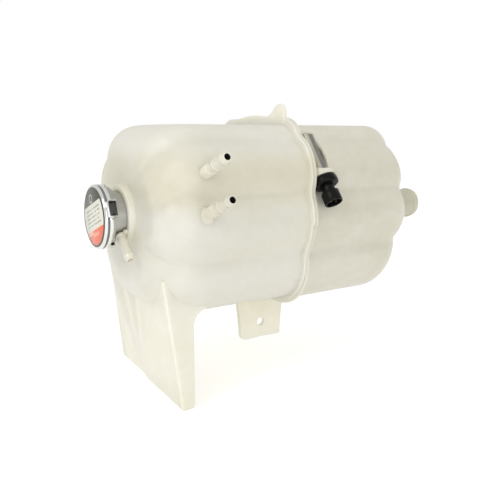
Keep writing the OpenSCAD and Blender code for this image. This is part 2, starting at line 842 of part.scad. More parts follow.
module pressure_plate() {
    color([0.72, 0.72, 0.7]) at_neck() {
        ring(plate_r, bell_r + run_gap, plate_low, plate_low + plate_t);
        ring(bell_r + plate_hub_t, bell_r + run_gap, plate_low, plate_low + 3 * plate_t);
    }
}

module pressure_seal() {
    color([0.06, 0.06, 0.06]) at_neck()
        ring(plate_r, bell_lip_r + free_gap, plate_low - seal_t + run_gap, plate_low);
}

module vacuum_valve() {
    color([0.75, 0.66, 0.4]) at_neck() {
        translate([0, 0, vacuum_top - vacuum_t]) cylinder(r = vacuum_r, h = vacuum_t);
        translate([0, 0, vacuum_top - vacuum_t]) cylinder(r = stem_r, h = stem_top - vacuum_top + vacuum_t);
        translate([0, 0, stem_top - stem_head_t]) cylinder(r = stem_head_r, h = stem_head_t);
    }
}

module vacuum_spring() {
    color([0.6, 0.6, 0.6]) at_neck()
        coil(vacuum_coil_r, vacuum_wire_r, 5, bell_floor_top + vacuum_wire_r + spring_seat_gap,
             stem_top - stem_head_t - vacuum_wire_r - spring_seat_gap, 16, 8);
}

// Places its children on each of the two contacts
module at_pins() {
    for (side = [-1, 1]) translate([side * pin_side, 0, head_len + waist_len - pin_foot]) children();
}

module level_sensor_body() {
    color([0.07, 0.07, 0.07]) at_sensor() difference() {
        union() {
            translate([0, 0, gasket_t]) cylinder(r = head_r, h = head_len - gasket_t, $fn = 6);
            translate([0, 0, gasket_t]) cylinder(r = head_r * 0.93, h = head_len);
            translate([0, 0, head_len]) cylinder(r = waist_r, h = waist_len + over);
            translate([0, 0, head_len + waist_len]) cylinder(r = shroud_r, h = shroud_len);
        }
        translate([0, 0, -over]) cylinder(r = tube_r + run_gap, h = tube_in_head + over);
        translate([0, 0, head_len + waist_len + socket_floor])
            cylinder(r = shroud_r - shroud_wall, h = shroud_len);
        at_pins() cylinder(r = pin_r + run_gap, h = pin_len - over);
    }
}

// Keeps only what lies below the recess' roof
module under_roof() {
    difference() {
        children();
        translate([-far, -far, roof_z - run_gap]) cube([2 * far, 2 * far, far]);
    }
}

module sensor_tube() {
    color([0.55, 0.55, 0.52]) under_roof() at_sensor()
        ring(tube_r, tube_r - tube_wall, -tube_up, tube_in_head);
}

module sensor_core() {
    color([0.2, 0.35, 0.25]) under_roof() at_sensor() translate([0, 0, -tube_up])
        cylinder(r = core_r, h = tube_up + tube_in_head);
}

module sensor_gasket() {
    color([0.1, 0.1, 0.1]) at_sensor() ring(head_r - gasket_t, tube_r + run_gap, 0, gasket_t);
}

module sensor_pins() {
    color([0.75, 0.65, 0.35]) at_sensor() at_pins() cylinder(r = pin_r, h = pin_len);
}

// Moves the part so that the lug's bolt hole lies at the origin
module place() {
    translate([-lug_x, 0, lug_hole_drop]) children();
}

place() tank_cap_half();
place() tank_outlet_half();
place() filler_neck();
place() neck_oring();
place() cap_shell();
place() cap_label();
place() cap_rivet();
place() cap_spring_disc();
place() cap_top_gasket();
place() cap_bell();
place() pressure_spring();
place() pressure_plate();
place() pressure_seal();
place() vacuum_valve();
place() vacuum_spring();
place() level_sensor_body();
place() sensor_tube();
place() sensor_core();
place() sensor_gasket();
place() sensor_pins();
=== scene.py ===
"""Dresses the coolant expansion tank: moulded halves, cap, neck and level sensor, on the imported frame."""
import logging
import math
from dataclasses import dataclass, field
from enum import Enum
from typing import Callable, Optional, Sequence, Union

import bmesh
import bpy
import numpy as np
from mathutils import Matrix, Vector
from mathutils.geometry import convex_hull_2d


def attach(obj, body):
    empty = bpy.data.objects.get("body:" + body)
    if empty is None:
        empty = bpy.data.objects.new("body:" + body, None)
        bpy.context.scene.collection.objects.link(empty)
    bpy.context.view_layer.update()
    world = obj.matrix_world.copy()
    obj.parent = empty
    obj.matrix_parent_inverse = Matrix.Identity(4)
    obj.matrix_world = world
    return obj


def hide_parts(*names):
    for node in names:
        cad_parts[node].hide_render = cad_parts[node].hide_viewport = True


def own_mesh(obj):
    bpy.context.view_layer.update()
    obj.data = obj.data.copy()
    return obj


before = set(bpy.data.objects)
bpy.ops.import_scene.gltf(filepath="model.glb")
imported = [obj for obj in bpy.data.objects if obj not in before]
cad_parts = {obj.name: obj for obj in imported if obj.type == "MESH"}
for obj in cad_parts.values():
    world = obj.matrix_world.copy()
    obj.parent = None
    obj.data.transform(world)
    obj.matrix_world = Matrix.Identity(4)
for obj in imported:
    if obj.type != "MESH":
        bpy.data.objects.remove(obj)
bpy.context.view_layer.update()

LOG = logging.getLogger("tank")
MM = 0.001
TAU = 2.0 * math.pi
# The row frame's origin in the tank frame, whose x = 0 is the weld and whose z = 0 is the neck's axis.
ROW_ORIGIN = np.array([3.0, 0.0, -125.0])
BODY_MIDDLE_Z = -4.5
# The share of the valleys' depth that is left at the edge of the flat ends.
END_DIP = 0.6
WHITE = (1.0, 1.0, 1.0, 1.0)
Number = Union[int, float]
Pair = tuple[float, float]
Point = Sequence[float]
Rings = list[np.ndarray]


def to_row(points: np.ndarray) -> np.ndarray:
    """Turns points of the tank frame, in millimetres, into the row frame, in metres."""
    return (np.asarray(points, float) - ROW_ORIGIN) * MM


# shader maths


def operator_node(operation: str, swapped: bool = False) -> Callable[..., "Sock"]:
    """Makes the method of Sock that stands for one Python operator.

    Args:
        operation: the Math node's operation.
        swapped: whether the other value comes first.

    Returns:
        The method.
    """
    def method(self: "Sock", other: Union["Sock", Number]) -> "Sock":
        """The operation's result with another socket or a number."""
        values = (other, self) if swapped else (self, other)
        return self.calc(operation, *values)
    return method


class Sock:
    """A node's output socket that can be used in Python expressions."""

    __add__ = operator_node("ADD")
    __sub__ = operator_node("SUBTRACT")
    __rsub__ = operator_node("SUBTRACT", swapped=True)
    __mul__ = operator_node("MULTIPLY")
    __gt__ = operator_node("GREATER_THAN")
    __lt__ = operator_node("LESS_THAN")

    def __init__(self, graph: "Graph", socket: Optional[bpy.types.NodeSocket]) -> None:
        """Keeps the socket and the graph that new nodes go into."""
        self.graph = graph
        self.socket = socket

    def calc(self, operation: str, *values: Union["Sock", Number]) -> "Sock":
        """Adds one Math node to the graph, with sockets or numbers as its inputs."""
        return self.graph.add("ShaderNodeMath", {"operation": operation}, dict(enumerate(values)))

    def __abs__(self) -> "Sock":
        """The distance from zero."""
        return self.calc("ABSOLUTE", self)

    def root(self) -> "Sock":
        """The square root."""
        return self.calc("SQRT", self)

    def wrap(self, step: float) -> "Sock":
        """The remainder after whole steps, never negative."""
        return self.calc("FLOORED_MODULO", self, step)

    def ramp(self, low: float, high: float) -> "Sock":
        """0 at low, 1 at high, smooth between and flat beyond."""
        return self.graph.add("ShaderNodeMapRange", {"interpolation_type": "SMOOTHSTEP"},
                              {"Value": self, "From Min": low, "From Max": high})


def span(first: Sock, second: Sock) -> Sock:
    """The length of the step that two sockets make at a right angle."""
    return (first * first + second * second).root()


class Graph:
    """The nodes of one material or world."""

    def __init__(self, name: str, store: str = "materials") -> None:
        """Makes an empty node material or, with the store worlds, an empty world."""
        self.owner = getattr(bpy.data, store).new(name)
        self.owner.use_nodes = True
        self.tree = self.owner.node_tree
        self.tree.nodes.clear()
        self._place: Optional[Sock] = None

    def add(self, kind: str, settings: Optional[dict] = None, inputs: Optional[dict] = None,
            output: Union[str, int] = 0) -> Sock:
        """Adds any node.

        Args:
            kind: the node's type name.
            settings: attributes that are set first.
            inputs: values or links by socket name or number.
            output: which output the result wraps.

        Returns:
            The wrapped output socket.
        """
        node = self.tree.nodes.new(kind)
        for key, value in (settings or {}).items():
            setattr(node, key, value)
        for key, value in (inputs or {}).items():
            target = node.inputs[key]
            if isinstance(value, Sock):
                self.tree.links.new(value.socket, target)
            else:
                target.default_value = value
        return Sock(self, node.outputs[output]) if len(node.outputs) else Sock(self, None)

    @property
    def place(self) -> Sock:
        """The point on the piece, in the row frame at rest, in metres."""
        if self._place is None:
            self._place = self.add("ShaderNodeTexCoord", output="Object")
        return self._place

    def axis(self, name: str, vector: Optional[Sock] = None) -> Sock:
        """One coordinate of a vector, by default of the point on the piece."""
        return self.add("ShaderNodeSeparateXYZ", None, {0: vector or self.place}, name)

    def stretched(self, scale: Point) -> Sock:
        """The point on the piece with its axes scaled."""
        return self.add("ShaderNodeVectorMath", {"operation": "MULTIPLY"}, {0: self.place, 1: tuple(scale)})

    def noise(self, size_mm: float, detail: float = 3.0, vector: Optional[Sock] = None,
              rough: float = 0.5) -> Sock:
        """Noise of a size in millimetres, from 0 to 1."""
        return self.add("ShaderNodeTexNoise", None,
                        {"Vector": vector or self.place, "Scale": 1.0 / (size_mm * MM), "Detail": detail,
                         "Roughness": rough})

    def mix(self, factor: Union[Sock, float], low: Union[Sock, Point], high: Union[Sock, Point],
            blend: str = "MIX") -> Sock:
        """Mixes two colours."""
        return self.add("ShaderNodeMix", {"data_type": "RGBA", "blend_type": blend},
                        {0: factor, 6: low, 7: high}, 2)

    def bump(self, height: Sock, depth_mm: float, strength: float = 1.0) -> Sock:
        """A normal from a height of 0 to 1 that stands for a depth in millimetres."""
        return self.add("ShaderNodeBump", None,
                        {"Height": height, "Distance": depth_mm * MM, "Strength": strength})

    def finish(self, inputs: dict) -> bpy.types.Material:
        """Adds the Principled shader with its values and links, and the output."""
        shader = self.add("ShaderNodeBsdfPrincipled", None, inputs)
        self.add("ShaderNodeOutputMaterial", None, {"Surface": shader})
        return self.owner


def rgb(red: int, green: int, blue: int) -> tuple[float, float, float, float]:
    """A display colour of 0 to 255 as linear light."""
    def linear(value: int) -> float:
        """One channel as linear light."""
        share = value / 255.0
        return share / 12.92 if share <= 0.04045 else ((share + 0.055) / 1.055) ** 2.4
    return (linear(red), linear(green), linear(blue), 1.0)


# finishes


@dataclass(frozen=True)
class MouldedPlastic:
    """Satin moulded plastic with a faint flow pattern and grain.

    The tint, painted shade on the spigot and its pad, comes in along x over its own range, and a darker,
    warmer band of painted shade lies at the height of a valley between lobes, both set in metres of the row
    frame. Their plain values lie far outside the tank, where they change nothing.
    """

    name: str
    light: tuple
    dark: tuple
    roughness: float = 0.42
    grain_mm: float = 0.9
    grain_depth_mm: float = 0.02
    subsurface: float = 0.0
    coat: float = 0.0
    ior: float = 1.49
    tint: tuple = (0.0, 0.0, 0.0, 1.0)
    spigot_shade_x: tuple = (9.0, 10.0)
    valley_shade_z: float = 9.0
    valley_shade_fade: tuple = (0.008, 0.034)
    valley_shade_colour: tuple = (0.90, 0.875, 0.80, 1.0)

    def build(self) -> bpy.types.Material:
        """Makes the material."""
        g = Graph(self.name)
        flow = g.noise(46.0, 4.0, g.stretched((0.35, 1.0, 1.0)))
        blotch = g.noise(9.0, 3.0)
        fine = g.noise(self.grain_mm, 2.0)
        shade = flow.ramp(0.3, 0.72) * 0.75 + blotch.ramp(0.35, 0.7) * 0.25
        colour = g.mix(shade, self.dark, self.light)
        # Painted shade: the tint darkens the spigot and its pad, which are the tank's own plastic lying in
        # shadow.
        colour = g.mix(g.axis("X").ramp(*self.spigot_shade_x), colour, self.tint)
        # Painted shade: a darker, warmer band at the height of a valley between lobes.
        valley_shade = 1.0 - abs(g.axis("Z") - self.valley_shade_z).ramp(*self.valley_shade_fade)
        colour = g.mix(valley_shade * 0.9, colour, g.mix(1.0, colour, self.valley_shade_colour, "MULTIPLY"))
        rough = blotch.ramp(0.2, 0.8) * 0.1 + fine * 0.05 + (self.roughness - 0.07)
        normal = g.bump(fine * 0.6 + blotch * 0.4, self.grain_depth_mm, 0.6)
        return g.finish({"Base Color": colour, "Roughness": rough, "Normal": normal, "IOR": self.ior,
                         "Subsurface Weight": self.subsurface, "Subsurface Radius": (0.018, 0.017, 0.015),
                         "Subsurface Scale": 1.0, "Coat Weight": self.coat, "Coat Roughness": 0.2})


@dataclass(frozen=True)
class Metal:
    """Plain, brushed or plated metal."""

    name: str
    light: tuple
    dark: tuple
    roughness: float = 0.3
    brushed: tuple = (1.0, 1.0, 1.0)
    scratch_mm: float = 1.5
    stain: float = 0.3
    depth_mm: float = 0.004

    def build(self) -> bpy.types.Material:
        """Makes the material."""
        g = Graph(self.name)
        strokes = g.noise(self.scratch_mm, 4.0, g.stretched(self.brushed), 0.65)
        cloud = g.noise(12.0, 3.0)
        worn = cloud.ramp(0.45, 0.75) * self.stain + strokes.ramp(0.3, 0.8) * (0.5 * self.stain)
        colour = g.mix(worn, self.light, self.dark)
        rough = strokes.ramp(0.3, 0.8) * 0.12 + cloud * 0.08 + (self.roughness - 0.08)
        return g.finish({"Base Color": colour, "Metallic": 1.0, "Roughness": rough,
                         "Normal": g.bump(strokes, self.depth_mm, 0.5)})


@dataclass(frozen=True)
class SleeveMetal:
    """The sensor's drawn sleeve: dull metal with a darker stripe of painted reflection along it."""

    name: str
    middle_x: float
    reflection_stripe_half: tuple = (0.0018, 0.0032)
    light: tuple = rgb(186, 182, 164)
    dark: tuple = rgb(112, 114, 116)

    def build(self) -> bpy.types.Material:
        """Makes the material."""
        g = Graph(self.name)
        draw = g.noise(0.9, 3.0, g.stretched((1.0, 0.12, 0.12)))
        off = abs(g.axis("X") - self.middle_x)
        # Painted reflection: a darker stripe along the sleeve, round its middle in x.
        reflection_stripe = 1.0 - off.ramp(*self.reflection_stripe_half)
        colour = g.mix(reflection_stripe * 0.85 + draw * 0.15, self.light, self.dark)
        return g.finish({"Base Color": colour, "Metallic": 0.5, "Roughness": draw * 0.12 + 0.28,
                         "Normal": g.bump(draw, 0.01, 0.5)})


@dataclass(frozen=True)
class Rubber:
    """Matte black rubber."""

    name: str
    colour: tuple = (0.02, 0.02, 0.02, 1.0)

    def build(self) -> bpy.types.Material:
        """Makes the material."""
        g = Graph(self.name)
        speck = g.noise(0.8, 3.0)
        colour = g.mix(speck.ramp(0.4, 0.8) * 0.3, self.colour, (0.07, 0.07, 0.065, 1.0))
        return g.finish({"Base Color": colour, "Roughness": speck * 0.15 + 0.6,
                         "Normal": g.bump(speck, 0.03, 0.6)})


@dataclass(frozen=True)
class LabelPrint:
    """The cap's printed disc: plain fields, ruled lines, a ring and a dark border, in millimetres."""

    name: str
    radius_mm: float
    turn_deg: float
    border: float = 2.1
    rule_step: float = 3.5
    rule_wide: float = 1.5
    rule_half: float = 17.5
    rule_from: float = -7.5
    rule_to: float = 9.5
    low_field: float = -9.5
    bar_wide: float = 1.4
    high_field: float = 12.2
    ring_at: tuple = (17.0, 1.0)
    ring_r: float = 3.4
    ring_half: float = 0.55
    black: tuple = rgb(62, 62, 56)
    pale: tuple = rgb(222, 222, 208)
    grey: tuple = rgb(128, 130, 120)
    red: tuple = rgb(232, 104, 70)
    peach: tuple = rgb(246, 196, 172)

    def build(self) -> bpy.types.Material:
        """Makes the material."""
        g = Graph(self.name)
        up = g.axis("Z") * 1000.0 + float(ROW_ORIGIN[2])
        back = g.axis("Y") * 1000.0
        turn = math.radians(self.turn_deg)
        across = up * math.cos(turn) + back * math.sin(turn)
        along = back * math.cos(turn) - up * math.sin(turn)
        # The ruled lines are broken into dashes of uneven length, which stand for print.
        dash = g.noise(2.2, 1.0, g.stretched((1.0, 1.0, 0.35)))
        inside = (abs(along) < self.rule_half) * (across > self.rule_from) * (across < self.rule_to)
        ruled = (across.wrap(self.rule_step) < self.rule_wide) * inside * dash.ramp(0.38, 0.5)
        colour = g.mix(ruled * 0.75, self.pale, self.grey)
        low, bar_end = across < self.low_field, self.low_field - self.bar_wide
        tongue = (along > 8.0) * (across < bar_end) * (across > -14.5)
        window = (across < -13.5) * (across > -17.0) * (abs(along) < 8.0)
        lower = g.mix(window * 0.45, g.mix(tongue * 0.8, self.red, self.peach), self.peach)
        colour = g.mix(low, colour, lower)
        colour = g.mix(low * (across > bar_end) * 0.9, colour, self.pale)
        ring = abs(span(across - self.ring_at[0], along - self.ring_at[1]) - self.ring_r) < self.ring_half
        colour = g.mix(across > self.high_field, colour, g.mix(ring * 0.75, self.black, self.pale))
        colour = g.mix(span(across, along) > (self.radius_mm - self.border), colour, self.black)
        speck = g.noise(0.5, 2.0)
        return g.finish({"Base Color": colour, "Roughness": speck * 0.1 + 0.3,
                         "Normal": g.bump(speck + ruled * 0.5, 0.01, 0.4),
                         "Coat Weight": 0.3, "Coat Roughness": 0.15})


@dataclass(frozen=True)
class Stage:
    """The floor, which shows white and keeps the object's shadow."""

    name: str = "studio_floor"

    def build(self) -> bpy.types.Material:
        """Makes the material."""
        g = Graph(self.name)
        rays, shine, seen = (g.add("ShaderNodeLightPath", output=f"Is {kind} Ray")
                             for kind in ("Camera", "Glossy", "Transmission"))
        plain = g.add("ShaderNodeBsdfDiffuse", None, {"Color": (0.86, 0.86, 0.86, 1.0)})
        strength = rays * 0.2 + shine * 0.1 + seen * 0.3 + 0.2
        glow = g.add("ShaderNodeEmission", None, {"Color": WHITE, "Strength": strength})
        both = g.add("ShaderNodeAddShader", None, {0: plain, 1: glow})
        g.add("ShaderNodeOutputMaterial", None, {"Surface": both})
        return g.owner


class Finish(Enum):
    """The finishes, each by the piece of the tank that wears it; some of them are painted shade and painted
    reflection.
    """

    # The cap half's band of painted shade lies at the valley between its upper lobes.
    TANK_CAP_HALF = MouldedPlastic("tank_plastic_cap_half", rgb(239, 236, 222), rgb(230, 226, 207),
                                   0.34, subsurface=0.5, valley_shade_z=0.158)
    # The outlet half has darker colours than the cap half; its tint is painted shade on the spigot and its
    # pad.
    TANK_OUTLET_HALF = MouldedPlastic("tank_plastic_outlet_half", rgb(229, 225, 208), rgb(216, 210, 189),
                                      0.34, subsurface=0.5, tint=rgb(192, 188, 170), spigot_shade_x=(0.137, 0.147))
    NIPPLE = MouldedPlastic("nipple_plastic", rgb(233, 229, 212), rgb(214, 209, 190), 0.22,
                            subsurface=0.25, coat=0.3)
    # Painted shade: a near-black colour for the faces inside the vent nipples' bores.
    BORE_SHADE = MouldedPlastic("bore_shade", rgb(22, 22, 20), rgb(12, 12, 11), 0.6)
    BLACK = MouldedPlastic("black_moulding", rgb(15, 15, 14), rgb(7, 7, 7), 0.3, 0.6, 0.02, ior=1.25)
    POTTING = MouldedPlastic("potting_resin", rgb(60, 92, 70), rgb(40, 64, 48), 0.3)
    CHROME = Metal("bright_plating", (0.80, 0.81, 0.80, 1.0), (0.55, 0.56, 0.55, 1.0), 0.09,
                   scratch_mm=2.0, stain=0.2)
    # Painted dark reflection: a darker plating colour for the cap's stepped side.
    SIDE_DARK_REFLECTION = Metal("plating_dark_reflection", (0.26, 0.27, 0.27, 1.0), (0.12, 0.12, 0.12, 1.0), 0.16,
                 scratch_mm=2.0, stain=0.4)
    # Painted shade: a near-black glossy colour for the covers deep in the ears' ends.
    EAR_SHADE = Metal("ear_painted_shade", (0.11, 0.11, 0.11, 1.0), (0.03, 0.03, 0.03, 1.0), 0.22,
                   scratch_mm=2.5, stain=0.9)
    CONTACT = Metal("dull_contact", (0.10, 0.09, 0.07, 1.0), (0.05, 0.05, 0.04, 1.0), 0.4)
    NECK = Metal("pressed_neck", (0.50, 0.50, 0.47, 1.0), (0.32, 0.32, 0.30, 1.0), 0.42,
                 brushed=(1.0, 0.15, 0.15), scratch_mm=0.7)
    STEEL = Metal("plain_steel", (0.62, 0.62, 0.60, 1.0), (0.40, 0.40, 0.38, 1.0), 0.3)
    BRASS = Metal("plain_brass", (0.72, 0.55, 0.28, 1.0), (0.45, 0.32, 0.15, 1.0), 0.3)
    TUBE = SleeveMetal("sensor_tube_metal", 0.0135)
    RUBBER = Rubber("seal_rubber")
    LABEL = LabelPrint("printed_disc", 26.7, 19.0)
    FLOOR = Stage()

    def material(self) -> bpy.types.Material:
        """The finish's material, made once."""
        found = bpy.data.materials.get(self.value.name)
        return found or self.value.build()


# mesh making


def frame_at(origin: Point, x_axis: Point, y_axis: Point, z_axis: Point) -> Matrix:
    """A matrix that places a local form in the tank frame, in millimetres."""
    m = Matrix.Identity(4)
    for column, vector in enumerate((x_axis, y_axis, z_axis, origin)):
        for line in range(3):
            m[line][column] = vector[line]
    return m


# The frame of an outline drawn as (y, z) of the tank: its thickness runs along x.
SIDEWAYS = frame_at((0, 0, 0), (0, 1, 0), (0, 0, 1), (1, 0, 0))


def facing(place: Point, ahead: Point) -> Matrix:
    """A level frame at a place whose -z axis looks along a direction."""
    look = Vector(ahead).normalized()
    right = look.cross(Vector((0, 0, 1))).normalized()
    return frame_at(place, right, right.cross(look), -look)


def to_local(inverse: Matrix, point: Point) -> Vector:
    """A point of the row frame in the local frame whose inverse is given, in millimetres."""
    return inverse @ Vector(tuple(np.array(point) / MM + ROW_ORIGIN))


def turns(degrees: Sequence[float]) -> list[Pair]:
    """The cosine and sine of each angle."""
    return [(math.cos(math.radians(a)), math.sin(math.radians(a))) for a in degrees]


def arc(centre: Pair, radius: float, start: float, end: float, steps: int) -> list[Pair]:
    """Points on an arc between two angles in degrees."""
    around = turns(np.linspace(start, end, steps + 1))
    return [(centre[0] + radius * c, centre[1] + radius * s) for c, s in around]


def stand(name: str, data: bpy.types.ID) -> bpy.types.Object:
    """Puts a new object with its data into the scene."""
    obj = bpy.data.objects.new(name, data)
    bpy.context.scene.collection.objects.link(obj)
    return obj


def sheet(name: str, half_x: float, half_y: float, z: float, finish: Finish) -> bpy.types.Object:
    """Makes a flat rectangle round the origin.

    Args:
        name: the object's name.
        half_x: half its width.
        half_y: half its height.
        z: the local z that it lies at.
        finish: the finish that it wears.

    Returns:
        The new object.
    """
    mesh = bpy.data.meshes.new(name)
    corners = [(-half_x, -half_y, z), (half_x, -half_y, z), (half_x, half_y, z), (-half_x, half_y, z)]
    mesh.from_pydata(corners, [], [(0, 1, 2, 3)])
    mesh.materials.append(finish.material())
    return stand(name, mesh)


class Form:
    """Gathers the closed skins of one moulded or pressed piece, in tank millimetres."""

    def __init__(self) -> None:
        """Starts with nothing."""
        self.bm = bmesh.new()

    def loft(self, rings: Rings, loop: bool = True, flip: bool = False) -> "Form":
        """Joins closed rings of points by quads.

        Args:
            rings: arrays of points, all with the same number of points.
            loop: whether the last ring joins the first one.
            flip: whether the skin faces the other way.

        Returns:
            The form itself.
        """
        grid = [[self.bm.verts.new(p) for p in ring] for ring in rings]
        pairs = list(zip(grid, grid[1:] + grid[:1] if loop else grid[1:]))
        for a, b in pairs:
            n = len(a)
            for i in range(n):
                k = (i + 1) % n
                face = (a[i], a[k], b[k], b[i])
                self.bm.faces.new(face[::-1] if flip else face)
        if not loop:
            self.bm.faces.new(grid[0] if flip else grid[0][::-1])
            self.bm.faces.new(grid[-1][::-1] if flip else grid[-1])
        return self

    def lathe(self, profile: Sequence[Pair], place: Matrix, steps: int = 48,
              wave: Optional[Callable[[float], float]] = None) -> "Form":
        """Turns a closed profile of (radius, height) pairs round the local z axis.

        Args:
            profile: the pairs, in order round the section.
            place: where the local frame stands.
            steps: how many steps make the circle.
            wave: an optional factor on the radius by angle.

        Returns:
            The form itself.
        """
        angles = [TAU * k / steps for k in range(steps)]
        factors = [wave(a) if wave else 1.0 for a in angles]
        around = [(f * math.cos(a), f * math.sin(a)) for a, f in zip(angles, factors)]
        rings = []
        for r, z in profile:
            ring = [place @ Vector((r * c, r * s, z)) for c, s in around]
            rings.append(np.array([tuple(p) for p in ring]))
        return self.loft(rings)

    def prism(self, outline: Sequence[Pair], low: float, high: float, place: Matrix,
              edge: float = 0.0, steps: int = 2) -> "Form":
        """Adds a flat shape with thickness and rounded edges.

        Args:
            outline: the shape's corners as local (x, y).
            low: the local z of one face.
            high: the local z of the other face.
            place: where the local frame stands.
            edge: the radius of the edges.
            steps: the segments of the rounded edges.

        Returns:
            The form itself.
        """
        part = bmesh.new()
        base = [part.verts.new((x, y, low)) for x, y in outline]
        bottom = part.faces.new(base)
        grown = bmesh.ops.extrude_face_region(part, geom=[bottom])
        moved = [v for v in grown["geom"] if isinstance(v, bmesh.types.BMVert)]
        bmesh.ops.translate(part, verts=moved, vec=(0.0, 0.0, high - low))
        bmesh.ops.recalc_face_normals(part, faces=part.faces)
        if edge > 0.0:
            sharp = [e for e in part.edges if len(e.link_faces) == 2 and e.calc_face_angle(0.0) > 0.5]
            bmesh.ops.bevel(part, geom=sharp, offset=edge, segments=steps, profile=0.5, affect="EDGES",
                            clamp_overlap=True)
        part.transform(place)
        self._take(part)
        return self

    def _take(self, part: bmesh.types.BMesh) -> None:
        """Moves another mesh's faces into this form."""
        mesh = bpy.data.meshes.new("part")
        part.to_mesh(mesh)
        part.free()
        self.bm.from_mesh(mesh)
        bpy.data.meshes.remove(mesh)

    def make(self, name: str, finish: Finish, sharp_deg: float = 40.0) -> bpy.types.Object:
        """Turns the form into an object of the scene, in the row frame.

        Args:
            name: the object's name.
            finish: the finish that it wears.
            sharp_deg: edges sharper than this stay crisp.

        Returns:
            The new object.
        """
        bmesh.ops.remove_doubles(self.bm, verts=self.bm.verts, dist=0.0005)
        bmesh.ops.recalc_face_normals(self.bm, faces=self.bm.faces)
        mesh = bpy.data.meshes.new(name)
        self.bm.to_mesh(mesh)
        self.bm.free()
        co = np.empty(len(mesh.vertices) * 3)
        mesh.vertices.foreach_get("co", co)
        mesh.vertices.foreach_set("co", to_row(co.reshape(-1, 3)).ravel())
        obj = stand(name, mesh)
        settle(obj, finish, sharp_deg)
        return obj


def settle(obj: bpy.types.Object, finish: Finish, sharp_deg: float = 40.0) -> None:
    """Gives an object its finish and its smooth shading."""
    mesh = obj.data
    mesh.materials.clear()
    mesh.materials.append(finish.material())
    mesh.polygons.foreach_set("use_smooth", [True] * len(mesh.polygons))
    mesh.set_sharp_from_angle(angle=math.radians(sharp_deg))
    mesh.update()


def carve(obj: bpy.types.Object, tool: bpy.types.Object, operation: str) -> None:
    """Applies a boolean with another object and removes that object.

    Args:
        obj: the object that changes.
        tool: the object that it is joined with or cut by.
        operation: UNION, DIFFERENCE or INTERSECT.
    """
    modifier = obj.modifiers.new("carve", "BOOLEAN")
    modifier.operation = operation
    modifier.solver = "EXACT"
    modifier.object = tool
    depsgraph = bpy.context.evaluated_depsgraph_get()
    new = bpy.data.meshes.new_from_object(obj.evaluated_get(depsgraph))
    old = obj.data
    obj.modifiers.clear()
    obj.data = new
    new.name = obj.name
    bpy.data.meshes.remove(old)
    bpy.data.objects.remove(tool)


def present(obj: bpy.types.Object, body: str, slot: str, *nodes: str) -> bpy.types.Object:
    """Tells the frame which body a piece rides on and hides the CAD nodes that it stands for.

    Args:
        obj: the piece.
        body: the CAD body.
        slot: not used.
        nodes: the CAD nodes that it stands for.

    Returns:
        The piece.
    """
    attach(obj, body)
    if nodes:
        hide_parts(*nodes)
    LOG.info("%s: %d faces on %s", obj.name, len(obj.data.polygons), body)
    return obj


# the tank


@dataclass
class Lobes:
    """The body's cross section, as reach by angle round one middle."""

    middle_z: float = BODY_MIDDLE_Z
    samples: int = 360
    discs: tuple = ((46.0, 63.0, 18.0), (51.0, 34.0, 35.0), (40.0, -6.0, 50.0), (38.0, -48.0, 42.0))
    top: tuple = (46.0, 81.0)
    bottom: tuple = (38.0, 90.0)
    low_lobe_z: float = -40.0
    valley_deg: float = 1.6

    def angles(self) -> np.ndarray:
        """The sample angles; 0 points to the back and a quarter turn points up."""
        return np.linspace(0.0, TAU, self.samples, endpoint=False)

    def disc(self, y: float, z: float, r: float) -> np.ndarray:
        """The reach of a circle's far side at every sample angle, and 0 where the circle isn't met."""
        angle = self.angles()
        ahead = y * np.cos(angle) + (z - self.middle_z) * np.sin(angle)
        inside = r * r - (y * y + (z - self.middle_z) ** 2 - ahead * ahead)
        return np.where(inside > 0.0, ahead + np.sqrt(np.maximum(inside, 0.0)), 0.0)

    def reach(self, grow: float = 0.0, belly: float = 90.0) -> np.ndarray:
        """The section's reach at every sample angle.

        Args:
            grow: how far the outline is moved outward.
            belly: the depth of the flat below the filler axis.

        Returns:
            The reach from the middle, in millimetres.
        """
        angle = self.angles()
        dy, dz = np.cos(angle), np.sin(angle)
        best = np.zeros_like(angle)
        drop = self.bottom[1] - belly
        for y, z, r in self.discs:
            lift = drop if z < self.low_lobe_z else 0.0
            for side in (-1.0, 1.0):
                best = np.maximum(best, self.disc(side * y, z + lift, r + grow))
        for half, high, sign in ((self.top[0], self.top[1] - self.middle_z, 1.0),
                                 (self.bottom[0], belly + self.middle_z, -1.0)):
            rise = np.maximum(sign * dz, 1e-6)
            flat = np.minimum((high + grow) / rise, half / np.maximum(np.abs(dy), 1e-6))
            best = np.where(sign * dz > 0.0, np.maximum(best, flat), best)
        return self.filleted(best, self.valley_deg)

    def filleted(self, reach: np.ndarray, width_deg: float) -> np.ndarray:
        """Fills the valleys' sharp lines with a soft radius and leaves the crests."""
        step = 360.0 / self.samples
        span = int(max(2, round(4 * width_deg / step)))
        offsets = np.arange(-span, span + 1)
        weights = np.exp(-0.5 * (offsets * step / width_deg) ** 2)
        weights /= weights.sum()
        blurred = sum(w * np.roll(reach, o) for w, o in zip(weights, offsets))
        return np.maximum(reach, blurred)

    def wrapped(self, reach: np.ndarray) -> np.ndarray:
        """The reach of the section's convex wrap, which has no valleys."""
        angle = self.angles()
        points = [Vector((r * math.cos(a), r * math.sin(a))) for r, a in zip(reach, angle)]
        corners = [points[i] for i in convex_hull_2d(points)]
        dense = []
        for a, b in zip(corners, corners[1:] + corners[:1]):
            dense += [a.lerp(b, t / 12.0) for t in range(12)]
        around = np.array([math.atan2(p.y, p.x) % TAU for p in dense])
        far = np.array([p.length for p in dense])
        order = np.argsort(around)
        return np.maximum(np.interp(angle, around[order], far[order], period=TAU), reach)


